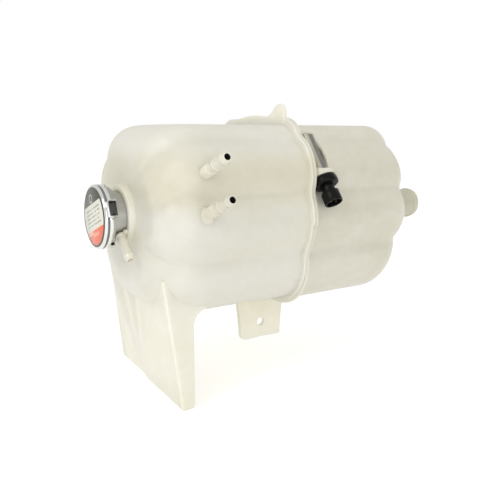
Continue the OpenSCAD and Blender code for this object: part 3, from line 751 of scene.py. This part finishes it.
@dataclass
class TankHalf:
    """One moulded half as a hollow shell: weld flange, side, rounded corner and flat end."""

    length: float
    side: float
    belly: float
    lobes: Lobes = field(default_factory=Lobes)
    wall: float = 3.0
    flange_t: float = 3.0
    flange_out: float = 7.0
    flange_low_out: float = 4.5
    flange_step_z: float = -9.0
    flange_step_h: float = 2.5
    edge: float = 0.9
    foot: float = 1.6
    end_round: float = 30.0
    corner_round: float = 43.0
    crown: Optional[tuple] = None

    def ring(self, reach: Union[float, np.ndarray], s: Union[float, np.ndarray],
             middle: Pair = (0.0, BODY_MIDDLE_Z)) -> np.ndarray:
        """One ring of points.

        Args:
            reach: the reach at each angle.
            s: the distance from the weld at each angle.
            middle: the ring's middle as y and z.

        Returns:
            The ring's points in tank millimetres.
        """
        angle = self.lobes.angles()
        out = np.empty((len(angle), 3))
        out[:, 0] = self.side * (np.zeros_like(angle) + s)
        out[:, 1] = middle[0] + reach * np.cos(angle)
        out[:, 2] = middle[1] + reach * np.sin(angle)
        return out

    def rounding(self) -> np.ndarray:
        """The radius into the end: larger at the corners than at the flats."""
        angle = self.lobes.angles()
        corner = np.abs(np.sin(2.0 * angle)) ** 2
        return self.end_round + (self.corner_round - self.end_round) * corner

    def flange_reach(self) -> np.ndarray:
        """The weld flange's reach, with the step on its sides and its crown."""
        angle = self.lobes.angles()
        wide = self.lobes.reach(self.flange_out, self.belly)
        slim = self.lobes.reach(self.flange_low_out, self.belly)
        height = self.lobes.middle_z + wide * np.sin(angle)
        share = np.clip((height - self.flange_step_z) / self.flange_step_h + 0.5, 0.0, 1.0)
        reach = slim + (wide - slim) * share
        if self.crown:
            mid_y, mid_z, r, half = self.crown
            hump = self.lobes.disc(mid_y, mid_z, r)
            on_top = (np.abs(hump * np.cos(angle)) <= half) & (np.sin(angle) > 0.5)
            reach = np.where(on_top, np.maximum(reach, hump), reach)
        return reach

    def end_edge(self) -> tuple[np.ndarray, np.ndarray]:
        """The reach of the flat end's edge, and how far its valleys dip there."""
        body = self.lobes.reach(0.0, self.belly)
        hull = self.lobes.wrapped(body)
        return hull - self.rounding(), (hull - body) * END_DIP

    def corner(self, hull: np.ndarray, rounding: np.ndarray, dip: np.ndarray, start: np.ndarray,
               degrees: Sequence[float]) -> Rings:
        """Rings round the corner into the end, whose valleys fade towards it.

        Args:
            hull: the reach of the section's wrap.
            rounding: the corner's radius.
            dip: how far the valleys lie below the wrap.
            start: the distance from the weld at which the corner starts.
            degrees: how far round the corner each ring lies.

        Returns:
            The rings.
        """
        rings = []
        for c, s in turns(degrees):
            arm = rounding - dip * (END_DIP + (1.0 - END_DIP) * c)
            rings.append(self.ring(hull - rounding + arm * c, start + arm * s))
        return rings

    def side_rings(self) -> Rings:
        """Rings over the flange, the side and the corner, from the weld to the end face."""
        body = self.lobes.reach(0.0, self.belly)
        hull = self.lobes.wrapped(body)
        lip = self.flange_reach()
        e, ft, foot = self.edge, self.flange_t, self.foot
        quarter = (0.0, 30.0, 60.0, 90.0)
        rings = [self.ring(lip - e, 0.0)]
        rings += [self.ring(lip - e + e * s, e - e * c) for c, s in turns(quarter[1:])]
        rings += [self.ring(lip - e + e * c, ft - e + e * s) for c, s in turns(quarter)]
        rings += [self.ring(body + foot - foot * s, ft + foot - foot * c) for c, s in turns(quarter)]
        rounding = self.rounding()
        start = self.length - rounding
        rings += [self.ring(body, (ft + foot) * (1 - t) + start * t) for t in np.linspace(0.06, 1.0, 12)]
        return rings + self.corner(hull, rounding, hull - body, start, np.linspace(0.0, 90.0, 14)[1:])

    def face_rings(self, reach_to: float, middle: Pair, steps: int = 9) -> Rings:
        """Rings over the flat end, from its edge towards the neck or spigot.

        Args:
            reach_to: the radius that they end at.
            middle: the neck's or spigot's middle as y and z.
            steps: the number of rings.

        Returns:
            The rings.
        """
        edge, dip = self.end_edge()
        rings = []
        for t in np.linspace(0.0, 1.0, steps + 1)[1:]:
            fade = max(0.0, 1.0 - t * 1.15) ** 1.3
            mid = (middle[0] * t, self.lobes.middle_z * (1 - t) + middle[1] * t)
            rings.append(self.ring(edge * (1 - t) + reach_to * t, self.length - dip * fade, mid))
        return rings

    def inner_rings(self, reach_from: float, middle: Pair) -> Rings:
        """Rings over the inside of the wall, from the end's opening back to the weld.

        Args:
            reach_from: the radius that they start at.
            middle: the opening's middle as y and z.

        Returns:
            The rings.
        """
        body = self.lobes.reach(-self.wall, self.belly)
        hull = self.lobes.wrapped(body)
        dip = hull - body
        rounding = self.rounding() - self.wall
        end = self.length - self.wall
        rings = []
        for t in np.linspace(0.0, 1.0, 6):
            reach = reach_from * (1 - t) + (hull - rounding) * t
            mid = (middle[0] * (1 - t), middle[1] * (1 - t) + self.lobes.middle_z * t)
            rings.append(self.ring(reach, end - dip * END_DIP * t, mid))
        rings += self.corner(hull, rounding, dip, end - rounding, (70.0, 45.0, 20.0, 0.0))
        return rings + [self.ring(body, 0.0)]


@dataclass
class CapHalf:
    """The half with the filler collar, nipples, bracket leg, lug and fin."""

    half: TankHalf = field(
        default_factory=lambda: TankHalf(146.0, -1.0, 87.0, crown=(3.0, -49.0, 140.0, 50.0)))
    collar_r: float = 28.0
    collar_h: float = 6.0
    neck_r: float = 22.8
    fin_t: float = 4.0
    lug_x: float = 3.0
    lug_z: float = -125.0
    lug_t: float = 5.0
    lug_hole_r: float = 4.5
    leg_x: float = -147.0
    leg_lean_deg: float = 8.0
    leg_t: float = 4.0
    vent_rise_deg: float = 21.5
    vent_upper: tuple = (-107.5, -120.0, 55.5)
    vent_lower: tuple = (-107.5, -127.5, 23.0)
    vent_shade_r: float = 2.75
    overflow_x: float = -156.5
    overflow_deg: float = 229.0

    def shell(self, form: Form) -> None:
        """Adds the hollow shell with its collar and the bore for the neck."""
        half, top, neck = self.half, self.half.length + self.collar_h, (0.0, 0.0)
        r, bore = self.collar_r, self.neck_r
        section = [(29.0, half.length + 0.35), (r + 0.3, half.length + 1.2), (r, half.length + 2.2),
                   (r, top - 1.0), (r - 0.35, top - 0.3), (r - 1.1, top), (bore + 0.8, top),
                   (bore + 0.1, top - 0.2), (bore, top - 0.8), (bore, 147.75), (16.3, 147.75),
                   (16.3, 142.0), (27.5, 142.0), (28.0, 142.6)]
        rings = half.side_rings() + half.face_rings(r + 3.0, neck)
        rings += [half.ring(reach, s, neck) for reach, s in section]
        form.loft(rings + half.inner_rings(31.0, neck))

    def fin(self) -> Form:
        """The lifting fin on the flange's crown."""
        corner = arc((-41.5, 92.5), 8.5, 180.0, 48.0, 9)
        slope = [(-31.5, 95.0), (-26.5, 91.3), (-20.0, 88.6), (-12.0, 87.0), (-12.0, 78.0)]
        return Form().prism([(-50.0, 78.0)] + corner + slope, -self.fin_t, -0.1, SIDEWAYS, 0.8)

    def lug(self) -> Form:
        """The lower lug with its bolt hole, as a ring of sections round the hole."""
        steps = 96
        corners = [(-26.0, -89.0), (32.0, -89.0), (28.0, -140.0), (26.0, -142.0), (-16.0, -142.0),
                   (-22.0, -136.0)]
        rounds = arc((26.0, -140.0), 2.0, -90.0, 0.0, 12) + arc((-16.0, -136.0), 6.0, -180.0, -90.0, 20)
        wall = self._polar(corners, rounds, (self.lug_x, self.lug_z), steps)
        angle = np.linspace(0.0, TAU, steps, endpoint=False)
        half_t, e = self.lug_t / 2.0, 0.8

        def ring(reach: np.ndarray, y: float) -> np.ndarray:
            """Points at one reach round the hole."""
            return np.stack([self.lug_x + reach * np.cos(angle), np.full(steps, y),
                             self.lug_z + reach * np.sin(angle)], axis=1)

        bore = np.full(steps, self.lug_hole_r)
        rings = []
        for sign in (-1.0, 1.0):
            near = [ring(bore, sign * (half_t - 0.4)), ring(bore + 0.4, sign * half_t),
                    ring(bore + 2.5, sign * half_t), ring(wall - e, sign * half_t),
                    ring(wall - 0.3 * e, sign * (half_t - 0.3 * e)), ring(wall, sign * (half_t - e))]
            rings += near if sign < 0 else near[::-1]
        return Form().loft(rings)

    @staticmethod
    def _polar(corners: Sequence[Pair], rounds: Sequence[Pair], middle: Pair, steps: int) -> np.ndarray:
        """The reach of a rounded polygon round a middle.

        Args:
            corners: the polygon.
            rounds: the points on its rounded corners.
            middle: the point to measure from.
            steps: how many directions.

        Returns:
            The reach in each direction.
        """
        dense = []
        for (ax, az), (bx, bz) in zip(corners, corners[1:] + corners[:1]):
            dense += [(ax + (bx - ax) * t / 40.0, az + (bz - az) * t / 40.0) for t in range(40)]
        dense += rounds
        around = np.array([math.atan2(z - middle[1], x - middle[0]) % TAU for x, z in dense])
        far = np.array([math.hypot(x - middle[0], z - middle[1]) for x, z in dense])
        out = []
        for a in np.linspace(0.0, TAU, steps, endpoint=False):
            gap = np.abs((around - a + math.pi) % TAU - math.pi)
            near = gap < (TAU / steps) * 0.6
            out.append(far[near].max() if near.any() else np.interp(a, *zip(*sorted(zip(around, far)))))
        return np.array(out)

    def leg(self) -> list[Form]:
        """The bracket leg: a leaning plate, a front web and a shorter back web."""
        lean = math.radians(self.leg_lean_deg)
        along = (math.sin(lean), 0.0, -math.cos(lean))
        inward = (math.cos(lean), 0.0, math.sin(lean))
        place = frame_at((self.leg_x, 0.0, 0.0), (0, 1, 0), along, inward)
        k = 1.0 / math.cos(lean)
        edge = [(-66.0, 52.0), (-66.0, 168.0), (-63.0, 170.8), (10.0, 166.5), (18.0, 162.5), (69.0, 160.5),
                (72.0, 158.0), (62.5, 78.0), (61.5, 52.0)]
        plate = Form().prism([(y, depth * k) for y, depth in edge], 0.1, self.leg_t, place, 1.0)
        upright = frame_at((0, 0, 0), (1, 0, 0), (0, 0, 1), (0, -1, 0))

        def web(heel: float, toe: float, bend: float, side: float, low: float, high: float) -> Form:
            """A web from the heights of its foot's four corners and its two faces."""
            outline = [(self.leg_x + 50.0 * math.tan(lean), -50.0),
                       (self.leg_x - heel * math.tan(lean), heel), (-114.0, toe), (-111.2, bend),
                       (-110.0, side), (-110.0, -95.0)]
            outline += arc((-96.0, -94.0), 14.0, 175.0, 95.0, 6) + [(-92.0, -60.0), (-100.0, -50.0)]
            return Form().prism(outline, low, high, upright, 1.0)

        return [plate, web(-170.8, -170.9, -169.6, -166.5, 62.0, 65.9),
                web(-161.8, -161.8, -160.6, -157.5, -62.0, -58.0)]

    def collar_boss(self, form: Form) -> None:
        """Adds the boss on the collar that carries the overflow nipple."""
        place = self.overflow_frame()
        block = [(-8.0, -4.6), (8.0, -4.6), (8.0, 3.6), (5.5, 4.6), (-5.5, 4.6), (-8.0, 3.6)]
        form.prism([(x, y - 5.0) for x, y in block], 23.0, 26.2, place, 0.8)

    def overflow_frame(self) -> Matrix:
        """The overflow nipple's frame: z runs out along it from the neck's axis."""
        angle = math.radians(self.overflow_deg)
        out = (0.0, math.sin(angle), math.cos(angle))
        across = (0.0, math.cos(angle), -math.sin(angle))
        return frame_at((self.overflow_x, 0.0, 0.0), across, (-1.0, 0.0, 0.0), out)

    def build(self) -> None:
        """Makes the half and its nipples."""
        form = Form()
        self.shell(form)
        obj = form.make("cap_half_moulding", Finish.TANK_CAP_HALF, 38.0)
        for number, piece in enumerate([self.fin(), self.lug()] + self.leg()):
            carve(obj, piece.make(f"joined_{number}", Finish.TANK_CAP_HALF), "UNION")
        settle(obj, Finish.TANK_CAP_HALF, 38.0)
        present(obj, "tank", "tank_plastic", "tank_cap_half")
        self.nipples()

    @staticmethod
    def shade_bore(obj: bpy.types.Object, place: Matrix, radius: float) -> None:
        """Gives the faces within a radius of a nipple's axis a near-black painted shade, which stands for
        the shade in its bore.
        """
        obj.data.materials.append(Finish.BORE_SHADE.material())
        inverse = place.inverted()
        for face in obj.data.polygons:
            at = to_local(inverse, face.center)
            if math.hypot(at.x, at.y) < radius:
                face.material_index = 1

    def nipples(self) -> None:
        """Makes the vent nipples and the overflow nipple."""
        rise = math.radians(self.vent_rise_deg)
        out = (0.0, -math.cos(rise), math.sin(rise))
        side = (0.0, math.sin(rise), math.cos(rise))
        barbed = [(2.5, -44.0), (2.5, -0.5), (2.8, 0.0), (3.4, 0.0), (3.75, -0.5), (4.55, -4.6), (4.6, -5.2),
                  (4.2, -5.6), (4.0, -6.2), (4.0, -17.0), (4.2, -17.6), (4.9, -18.0), (5.05, -18.8),
                  (4.9, -19.6), (4.3, -20.2), (4.3, -26.5), (4.6, -27.4), (5.4, -28.0), (5.5, -29.0),
                  (5.5, -37.0), (5.9, -40.0), (7.2, -42.6), (9.0, -44.2), (9.0, -46.0), (2.5, -46.0)]
        for name, tip in (("vent_nipple_upper", self.vent_upper), ("vent_nipple_lower", self.vent_lower)):
            place = frame_at(tip, (1.0, 0.0, 0.0), side, out)
            obj = Form().lathe(barbed, place, 40).make(name, Finish.NIPPLE)
            self.shade_bore(obj, place, self.vent_shade_r)
            present(obj, "tank", "tank_plastic")
        form = Form()
        self.collar_boss(form)
        beaded = [(2.4, 24.0), (2.4, 51.4), (2.7, 52.0), (3.3, 52.0), (3.7, 51.4), (4.5, 47.4), (4.55, 46.9),
                  (4.2, 46.5), (4.0, 46.0), (4.0, 28.0), (4.6, 26.4), (5.4, 25.6), (5.4, 24.0)]
        form.lathe(beaded, self.overflow_frame(), 40)
        present(form.make("overflow_nipple", Finish.NIPPLE), "tank", "tank_plastic")


@dataclass
class OutletHalf:
    """The half with the outlet spigot and the recess for the level sensor."""

    half: TankHalf = field(default_factory=lambda: TankHalf(139.0, 1.0, 90.0))
    outlet_z: float = -10.0
    outlet_r: float = 16.5
    outlet_end: float = 224.0
    outlet_wall: float = 3.0
    pad_r: float = 30.0
    pad_h: float = 7.0
    sensor: tuple = (16.0, -86.4, 32.3)
    tilt_deg: float = 36.0
    tube_r: float = 6.4
    roof_z: float = 72.7
    floor_z: float = 42.2
    recess_x: tuple = (4.6, 22.7)
    recess_deep: float = 7.9
    recess_front: float = -140.0
    ground_front: float = -70.0
    pocket_r: float = 12.8
    boss_r: float = 11.8

    def shell(self, form: Form) -> None:
        """Adds the hollow shell with its spigot."""
        half, mid = self.half, (0.0, self.outlet_z)
        pad, r, end = half.length + self.pad_h, self.outlet_r, self.outlet_end
        rings = half.side_rings() + half.face_rings(self.pad_r + 4.0, mid)
        bore = r - self.outlet_wall
        section = [(self.pad_r + 1.2, half.length + 0.7), (self.pad_r, half.length + 2.6),
                   (self.pad_r - 0.5, pad - 1.6), (self.pad_r - 2.2, pad), (r + 5.0, pad),
                   (r + 2.2, pad + 0.6), (r + 0.5, pad + 2.4), (r, pad + 5.0), (r, end - 8.2),
                   (r + 0.4, end - 7.8), (r + 1.1, end - 7.2), (r + 1.2, end - 6.4), (r + 0.7, end - 3.0),
                   (r + 0.1, end - 1.0), (r - 0.8, end - 0.2), (r - 1.6, end), (r - 2.4, end - 0.2),
                   (bore, end - 1.0), (bore, half.length - 4.0), (bore + 1.0, half.length - 5.0)]
        rings += [half.ring(reach, s, mid) for reach, s in section]
        form.loft(rings + half.inner_rings(22.0, mid), flip=True)

    def sensor_frame(self) -> Matrix:
        """The sensor's frame: z runs down and out from its seat."""
        tilt = math.radians(self.tilt_deg)
        out = (0.0, -math.sin(tilt), -math.cos(tilt))
        return frame_at(self.sensor, (1.0, 0.0, 0.0), (0.0, -math.cos(tilt), math.sin(tilt)), out)

    def recess(self, grow: float) -> Form:
        """The recess in which the sensor's tube lies.

        Args:
            grow: how far each of its faces is moved outward.

        Returns:
            The form of the space.
        """
        tilt = math.radians(self.tilt_deg)
        back_y = self.sensor[1] + self.recess_deep * math.cos(tilt) + grow
        back_z = self.sensor[2] - self.recess_deep * math.sin(tilt)
        slope, high, low = math.tan(tilt), self.roof_z + grow, self.floor_z - grow
        # The space itself runs out through the wall, and the ground round it stays inside.
        front, edge = (self.recess_front, 1.2) if grow == 0.0 else (self.ground_front, 0.0)
        outline = [(front, high), (back_y + (high - back_z) * slope, high),
                   (back_y + (low - back_z) * slope, low), (front, low)]
        return Form().prism(outline, self.recess_x[0] - grow, self.recess_x[1] + grow, SIDEWAYS, edge, 3)

    def sensor_tools(self) -> list[tuple[bpy.types.Object, str]]:
        """The solids that are added for the sensor and the spaces that are cut for it, in order."""
        seat, r, wall = self.sensor_frame(), self.pocket_r, self.half.wall
        hole = self.tube_r + 0.06
        ground = [(0.01, -wall), (r + wall, -wall), (r + wall, 18.0), (r - 1.0, 30.0), (0.01, 30.0)]
        pocket = [(0.01, 0.0), (r - 1.0, 0.0), (r - 0.3, 0.3), (r, 1.0), (r, 60.0), (0.01, 60.0)]
        bore = [(0.01, -16.0), (hole, -16.0), (hole, 5.0), (0.01, 5.0)]
        boss = [(0.01, -16.0), (self.boss_r, -16.0), (self.boss_r, -0.6), (self.boss_r - 0.6, 0.0),
                (0.01, 0.0)]
        over = [(-200.0, self.floor_z), (0.0, self.floor_z), (0.0, 200.0), (-200.0, 200.0)]

        def tool(form: Form) -> bpy.types.Object:
            """The form as an object for a boolean."""
            return form.make("tool", Finish.TANK_OUTLET_HALF)

        raised = tool(Form().lathe(boss, seat, 72))
        carve(raised, tool(Form().prism(over, -50.0, 80.0, SIDEWAYS)), "DIFFERENCE")
        # The ground round the sensor ends inside the wall, so the wall's outer face stays as it is.
        lobes = self.half.lobes
        inside = [(r_i * math.cos(a), lobes.middle_z + r_i * math.sin(a))
                  for r_i, a in zip(lobes.reach(-1.2, self.half.belly), lobes.angles())]
        block = tool(Form().lathe(ground, seat, 72))
        carve(block, tool(self.recess(wall)), "UNION")
        carve(block, tool(Form().prism(inside, 1.0, 70.0, SIDEWAYS)), "INTERSECT")
        return [(block, "UNION"), (tool(Form().lathe(pocket, seat, 72)), "DIFFERENCE"), (raised, "UNION"),
                (tool(self.recess(0.0)), "DIFFERENCE"), (tool(Form().lathe(bore, seat, 48)), "DIFFERENCE")]

    def build(self) -> None:
        """Makes the half, with the recess carved into it."""
        form = Form()
        self.shell(form)
        obj = form.make("outlet_half_moulding", Finish.TANK_OUTLET_HALF, 38.0)
        for shape, operation in self.sensor_tools():
            carve(obj, shape, operation)
        settle(obj, Finish.TANK_OUTLET_HALF, 34.0)
        present(obj, "tank", "tank_plastic", "tank_outlet_half")


# neck and cap


@dataclass
class Cap:
    """The chrome shell with its ears and hooks, and the label on it."""

    neck_x: float = -168.0
    ear_deg: float = 19.0
    ear_half: float = 7.5
    ear_deep: float = 9.0
    shell_r: float = 29.0
    top: float = 5.6
    label_r: float = 26.7
    step_r: tuple = (28.3, 29.05)
    hollow_r: tuple = (29.6, 31.2)
    hook_half: float = 6.5
    hook_r: float = 28.5

    def neck_frame(self, turn_deg: float = 0.0) -> Matrix:
        """The neck's frame: z leaves the tank, x is up and z = 0 is the rim."""
        m = frame_at((self.neck_x, 0.0, 0.0), (0, 0, 1), (0, 1, 0), (-1, 0, 0))
        return m @ Matrix.Rotation(math.radians(turn_deg), 4, "Z")

    def shell(self, form: Form) -> None:
        """Adds the pressed shell: rolled edge, stepped side and open underside."""
        r, top = self.shell_r, self.top
        profile = [(2.56, top - 1.6), (20.6, top - 1.6), (22.0, top - 1.0), (27.0, top - 1.0),
                   (27.7, top - 1.5), (r - 1.0, top - 2.4), (r - 1.0, -2.0), (r - 0.5, -2.0),
                   (r - 0.1, -1.8), (r, -1.2), (r - 0.05, 0.6), (r - 0.3, 1.2), (r - 0.3, 2.0), (r, 2.6),
                   (r, top - 2.0), (r - 0.25, top - 0.95), (r - 0.9, top - 0.25), (27.2, top),
                   (20.9, top), (20.6, top - 0.6), (2.56, top - 0.6)]
        form.lathe(profile, self.neck_frame(), 128)

    def ears(self, form: Form) -> None:
        """Adds the two folded grip ears."""
        half, high, inset = self.ear_half, self.top - 1.5, self.ear_half - 0.4
        low = high - self.ear_deep
        outer = [(half, low), (half, high - 1.4), (half - 1.4, high)]
        inner = [(half - 1.0, low), (half - 1.0, high - 1.8), (half - 1.8, high - 1.0)]
        section = [(-x, z) for x, z in outer] + outer[::-1] + inner + [(-x, z) for x, z in inner[::-1]]
        cover = [(-inset, low), (inset, low), (inset, high - 0.5), (-inset, high - 0.5)]
        for turn in (0.0, 180.0):
            lying = self.neck_frame(self.ear_deg - 90.0 + turn) @ SIDEWAYS
            form.prism(section, 28.2, 33.9, lying, 0.25)
            form.prism(cover, 30.0, 30.9, lying, 0.2)

    def hooks(self, form: Form) -> None:
        """Adds the two locking tabs that reach below the cam flange."""
        half = math.asin(self.hook_half / self.hook_r)
        path = [(28.9, -1.5), (28.9, -6.6), (28.4, -7.45), (27.4, -7.6), (24.0, -7.6), (24.0, -6.65),
                (27.3, -6.65), (28.0, -6.2), (28.0, -1.5)]
        for turn in (0.0, 180.0):
            place = self.neck_frame(self.ear_deg + turn)
            rings = []
            for a in np.linspace(-half, half, 9):
                ring = [place @ Vector((r * math.cos(a), r * math.sin(a), z)) for r, z in path]
                rings.append(np.array([tuple(p) for p in ring]))
            form.loft(rings, loop=False)

    def tone(self, obj: bpy.types.Object) -> None:
        """Gives the stepped side a darker plating, which is a painted dark reflection, and the ears' ends a
        painted shade.
        """
        obj.data.materials.append(Finish.SIDE_DARK_REFLECTION.material())
        obj.data.materials.append(Finish.EAR_SHADE.material())
        inverse = self.neck_frame().inverted()
        for face in obj.data.polygons:
            at = to_local(inverse, face.center)
            out = inverse.to_3x3() @ face.normal
            reach = math.hypot(at.x, at.y)
            radial = (out.x * at.x + out.y * at.y) / max(reach, 1e-6)
            on_step = self.step_r[0] < reach < self.step_r[1] and 1.0 < at.z < self.top - 2.2
            in_hollow = self.hollow_r[0] < reach < self.hollow_r[1]
            # Painted dark reflection: the stepped side's outward faces get the darker plating.
            if on_step and radial > 0.7:
                face.material_index = 1
            # Painted shade: the covers in the ears' ends get the near-black colour.
            elif in_hollow and abs(radial) > 0.8:
                face.material_index = 2

    def build(self) -> None:
        """Makes the shell and the label."""
        form = Form()
        self.shell(form)
        self.ears(form)
        self.hooks(form)
        pressing = form.make("cap_pressing", Finish.CHROME, 30.0)
        self.tone(pressing)
        present(pressing, "cap", "cap_chrome", "cap_shell")
        disc = Form()
        r, z = self.label_r, self.top
        disc.lathe([(0.0, z + 0.02), (r - 0.2, z + 0.02), (r, z + 0.12), (r, z + 0.3), (r - 0.15, z + 0.4),
                    (0.0, z + 0.4)], self.neck_frame(), 128)
        present(disc.make("cap_disc", Finish.LABEL), "cap", "label_print", "cap_label")


@dataclass
class Spring:
    """A coil spring of the valve stack, copied from its CAD node."""

    node: str
    name: str
    joint: str
    fixed_x: float
    length: float
    travel: float

    def build(self) -> None:
        """Makes the coil from a copy of the source's own mesh, on the valve stack."""
        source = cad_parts[self.node]
        obj = stand(self.name, source.data.copy())
        obj.matrix_world = source.matrix_world.copy()
        settle(obj, Finish.STEEL, 35.0)
        present(obj, "valve_stack", "valve_steel", self.node)
        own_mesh(obj)


# sensor


@dataclass
class LevelSensor:
    """The black sensor head with its collar, waist and connector shroud, and its tube."""

    seat: Matrix
    head_len: float = 8.5
    waist_end: float = 15.0
    end: float = 26.5
    tube_r: float = 6.4
    tube_wall: float = 0.8
    roof_z: float = 72.65

    def tube(self) -> bpy.types.Object:
        """Makes the tube, cut level under the recess' roof."""
        form = Form()
        r, inner = self.tube_r, self.tube_r - self.tube_wall
        form.lathe([(inner, -62.0), (inner, 5.0), (r, 5.0), (r, -62.0)], self.seat, 96)
        obj = form.make("sensor_sleeve", Finish.TUBE, 32.0)
        above = [(-150.0, self.roof_z), (0.0, self.roof_z), (0.0, 200.0), (-150.0, 200.0)]
        carve(obj, Form().prism(above, -30.0, 60.0, SIDEWAYS).make("above", Finish.TUBE), "DIFFERENCE")
        settle(obj, Finish.TUBE, 32.0)
        return obj

    def head(self, form: Form) -> None:
        """Adds the head: a rounded six-sided collar, the waist and the shroud."""
        def facets(angle: float) -> float:
            """A softened hexagon."""
            step = math.pi / 3.0
            part = (angle + step / 2.0) % step - step / 2.0
            return 0.5 + 0.5 * min(1.0, 0.93 / math.cos(part))

        top, waist, end = self.head_len, self.waist_end, self.end
        collar = [(6.6, 1.0), (10.6, 1.0), (11.6, 1.4), (12.0, 2.4), (12.0, top - 1.8), (11.4, top - 0.7),
                  (10.0, top), (7.0, top + 0.4), (5.6, top), (5.6, 5.2), (6.6, 5.2)]
        form.lathe(collar, self.seat, 72, facets)
        core = [(0.01, 5.4), (6.2, 5.4), (6.2, waist - 0.5), (7.4, waist), (8.2, waist + 0.4),
                (8.5, waist + 1.2), (8.5, end - 0.6), (8.2, end), (7.3, end), (7.1, end - 0.5),
                (7.1, waist + 3.0), (0.01, waist + 3.0)]
        form.lathe(core, self.seat, 64)

    def build(self) -> None:
        """Makes the head and the tube."""
        form = Form()
        self.head(form)
        present(form.make("sensor_head", Finish.BLACK, 32.0), "tank", "black_plastic", "level_sensor_body")
        present(self.tube(), "tank", "sensor_metal", "sensor_tube")


# studio


@dataclass
class Studio:
    """Floor, backdrop light, lamps, dark card and camera."""

    eye: tuple = (-353.7, -527.0, 197.5)
    forward: tuple = (0.5320, 0.8268, -0.1826)
    view_deg: float = 44.05
    floor_z: float = -46.5
    floor_half: float = 6.0
    world: float = 0.78
    tint: tuple = (1.0, 0.99, 0.965, 1.0)

    def camera(self) -> None:
        """Sets the photograph's camera."""
        data = bpy.data.cameras.new("photo_camera")
        data.sensor_fit = "AUTO"
        data.angle = math.radians(self.view_deg)
        data.clip_start = 0.01
        data.clip_end = 50.0
        obj = stand("photo_camera", data)
        obj.matrix_world = facing([v * MM for v in self.eye], self.forward)
        bpy.context.scene.camera = obj

    def floor(self) -> None:
        """Lays the floor."""
        obj = sheet("studio_floor", self.floor_half, self.floor_half, self.floor_z * MM, Finish.FLOOR)

    def card(self, name: str, place: Point, aim: Point, wide: float, high: float) -> None:
        """Stands up a dark card that only the bright metal mirrors.

        Args:
            name: the card's name.
            place: its middle, in metres.
            aim: the point that it faces.
            wide: its width.
            high: its height.
        """
        obj = sheet(name, wide / 2.0, high / 2.0, 0.0, Finish.BLACK)
        obj.matrix_world = facing(place, Vector(aim) - Vector(place))
        obj.visible_camera = obj.visible_diffuse = obj.visible_shadow = obj.visible_transmission = False

    def lamp(self, name: str, place: Point, aim: Point, size: float, power: float) -> None:
        """Adds one soft lamp.

        Args:
            name: the lamp's name.
            place: where it stands, in metres.
            aim: where it points.
            size: its width.
            power: its power in watts.
        """
        data = bpy.data.lights.new(name, "AREA")
        data.shape = "DISK"
        data.size = size
        data.energy = power
        obj = stand(name, data)
        obj.matrix_world = facing(place, Vector(aim) - Vector(place))

    def backdrop(self) -> None:
        """Lights the scene from all round and shows white behind the object."""
        g = Graph("studio_world", "worlds")
        bpy.context.scene.world = g.owner
        base = g.add("ShaderNodeBackground", None, {"Color": self.tint, "Strength": self.world})
        white = g.add("ShaderNodeBackground", None, {"Color": WHITE, "Strength": 1.0})
        seen, through = (g.add("ShaderNodeLightPath", output=f"Is {kind} Ray")
                         for kind in ("Camera", "Transmission"))
        either = seen.calc("MAXIMUM", seen, through)
        mixed = g.add("ShaderNodeMixShader", None, {0: either, 1: base, 2: white})
        g.add("ShaderNodeOutputWorld", None, {"Surface": mixed})

    def build(self) -> None:
        """Sets the whole studio."""
        self.camera()
        self.floor()
        self.backdrop()
        self.card("right_card", (1.0, -1.5, 0.3), (-0.17, 0.0, 0.12), wide=1.4, high=0.75)
        self.lamp("key_lamp", (-1.3, -0.5, 1.2), (0.0, 0.0, 0.1), size=0.8, power=6.0)
        self.lamp("front_lamp", (-0.5, -1.8, 0.5), (0.0, 0.0, 0.05), size=1.4, power=6.5)
        bpy.context.scene.view_settings.view_transform = "Standard"


def dress_cad_nodes() -> None:
    """Gives the CAD nodes that stay their finishes."""
    plain = {
        "filler_neck": Finish.NECK, "neck_oring": Finish.RUBBER, "cap_rivet": Finish.STEEL,
        "cap_spring_disc": Finish.STEEL, "cap_top_gasket": Finish.RUBBER, "cap_bell": Finish.BRASS,
        "pressure_plate": Finish.STEEL, "pressure_seal": Finish.RUBBER, "vacuum_valve": Finish.BRASS,
        "sensor_core": Finish.POTTING, "sensor_gasket": Finish.RUBBER, "sensor_pins": Finish.CONTACT,
    }
    for name, finish in plain.items():
        settle(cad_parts[name], finish, 35.0)
        LOG.info("%s: dressed", name)


def main() -> None:
    """Builds the studio and the object's pieces in order."""
    logging.basicConfig(level=logging.INFO, format="%(message)s")
    Studio().build()
    CapHalf().build()
    outlet = OutletHalf()
    outlet.build()
    Cap().build()
    Spring("pressure_spring", "pressure_coil", "pressure_lift",
           fixed_x=-0.1736, length=18.5, travel=3.05).build()
    Spring("vacuum_spring", "vacuum_coil", "vacuum_open",
           fixed_x=-0.1525, length=8.1, travel=1.55).build()
    LevelSensor(outlet.sensor_frame()).build()
    dress_cad_nodes()


if __name__ == "__main__":
    main()
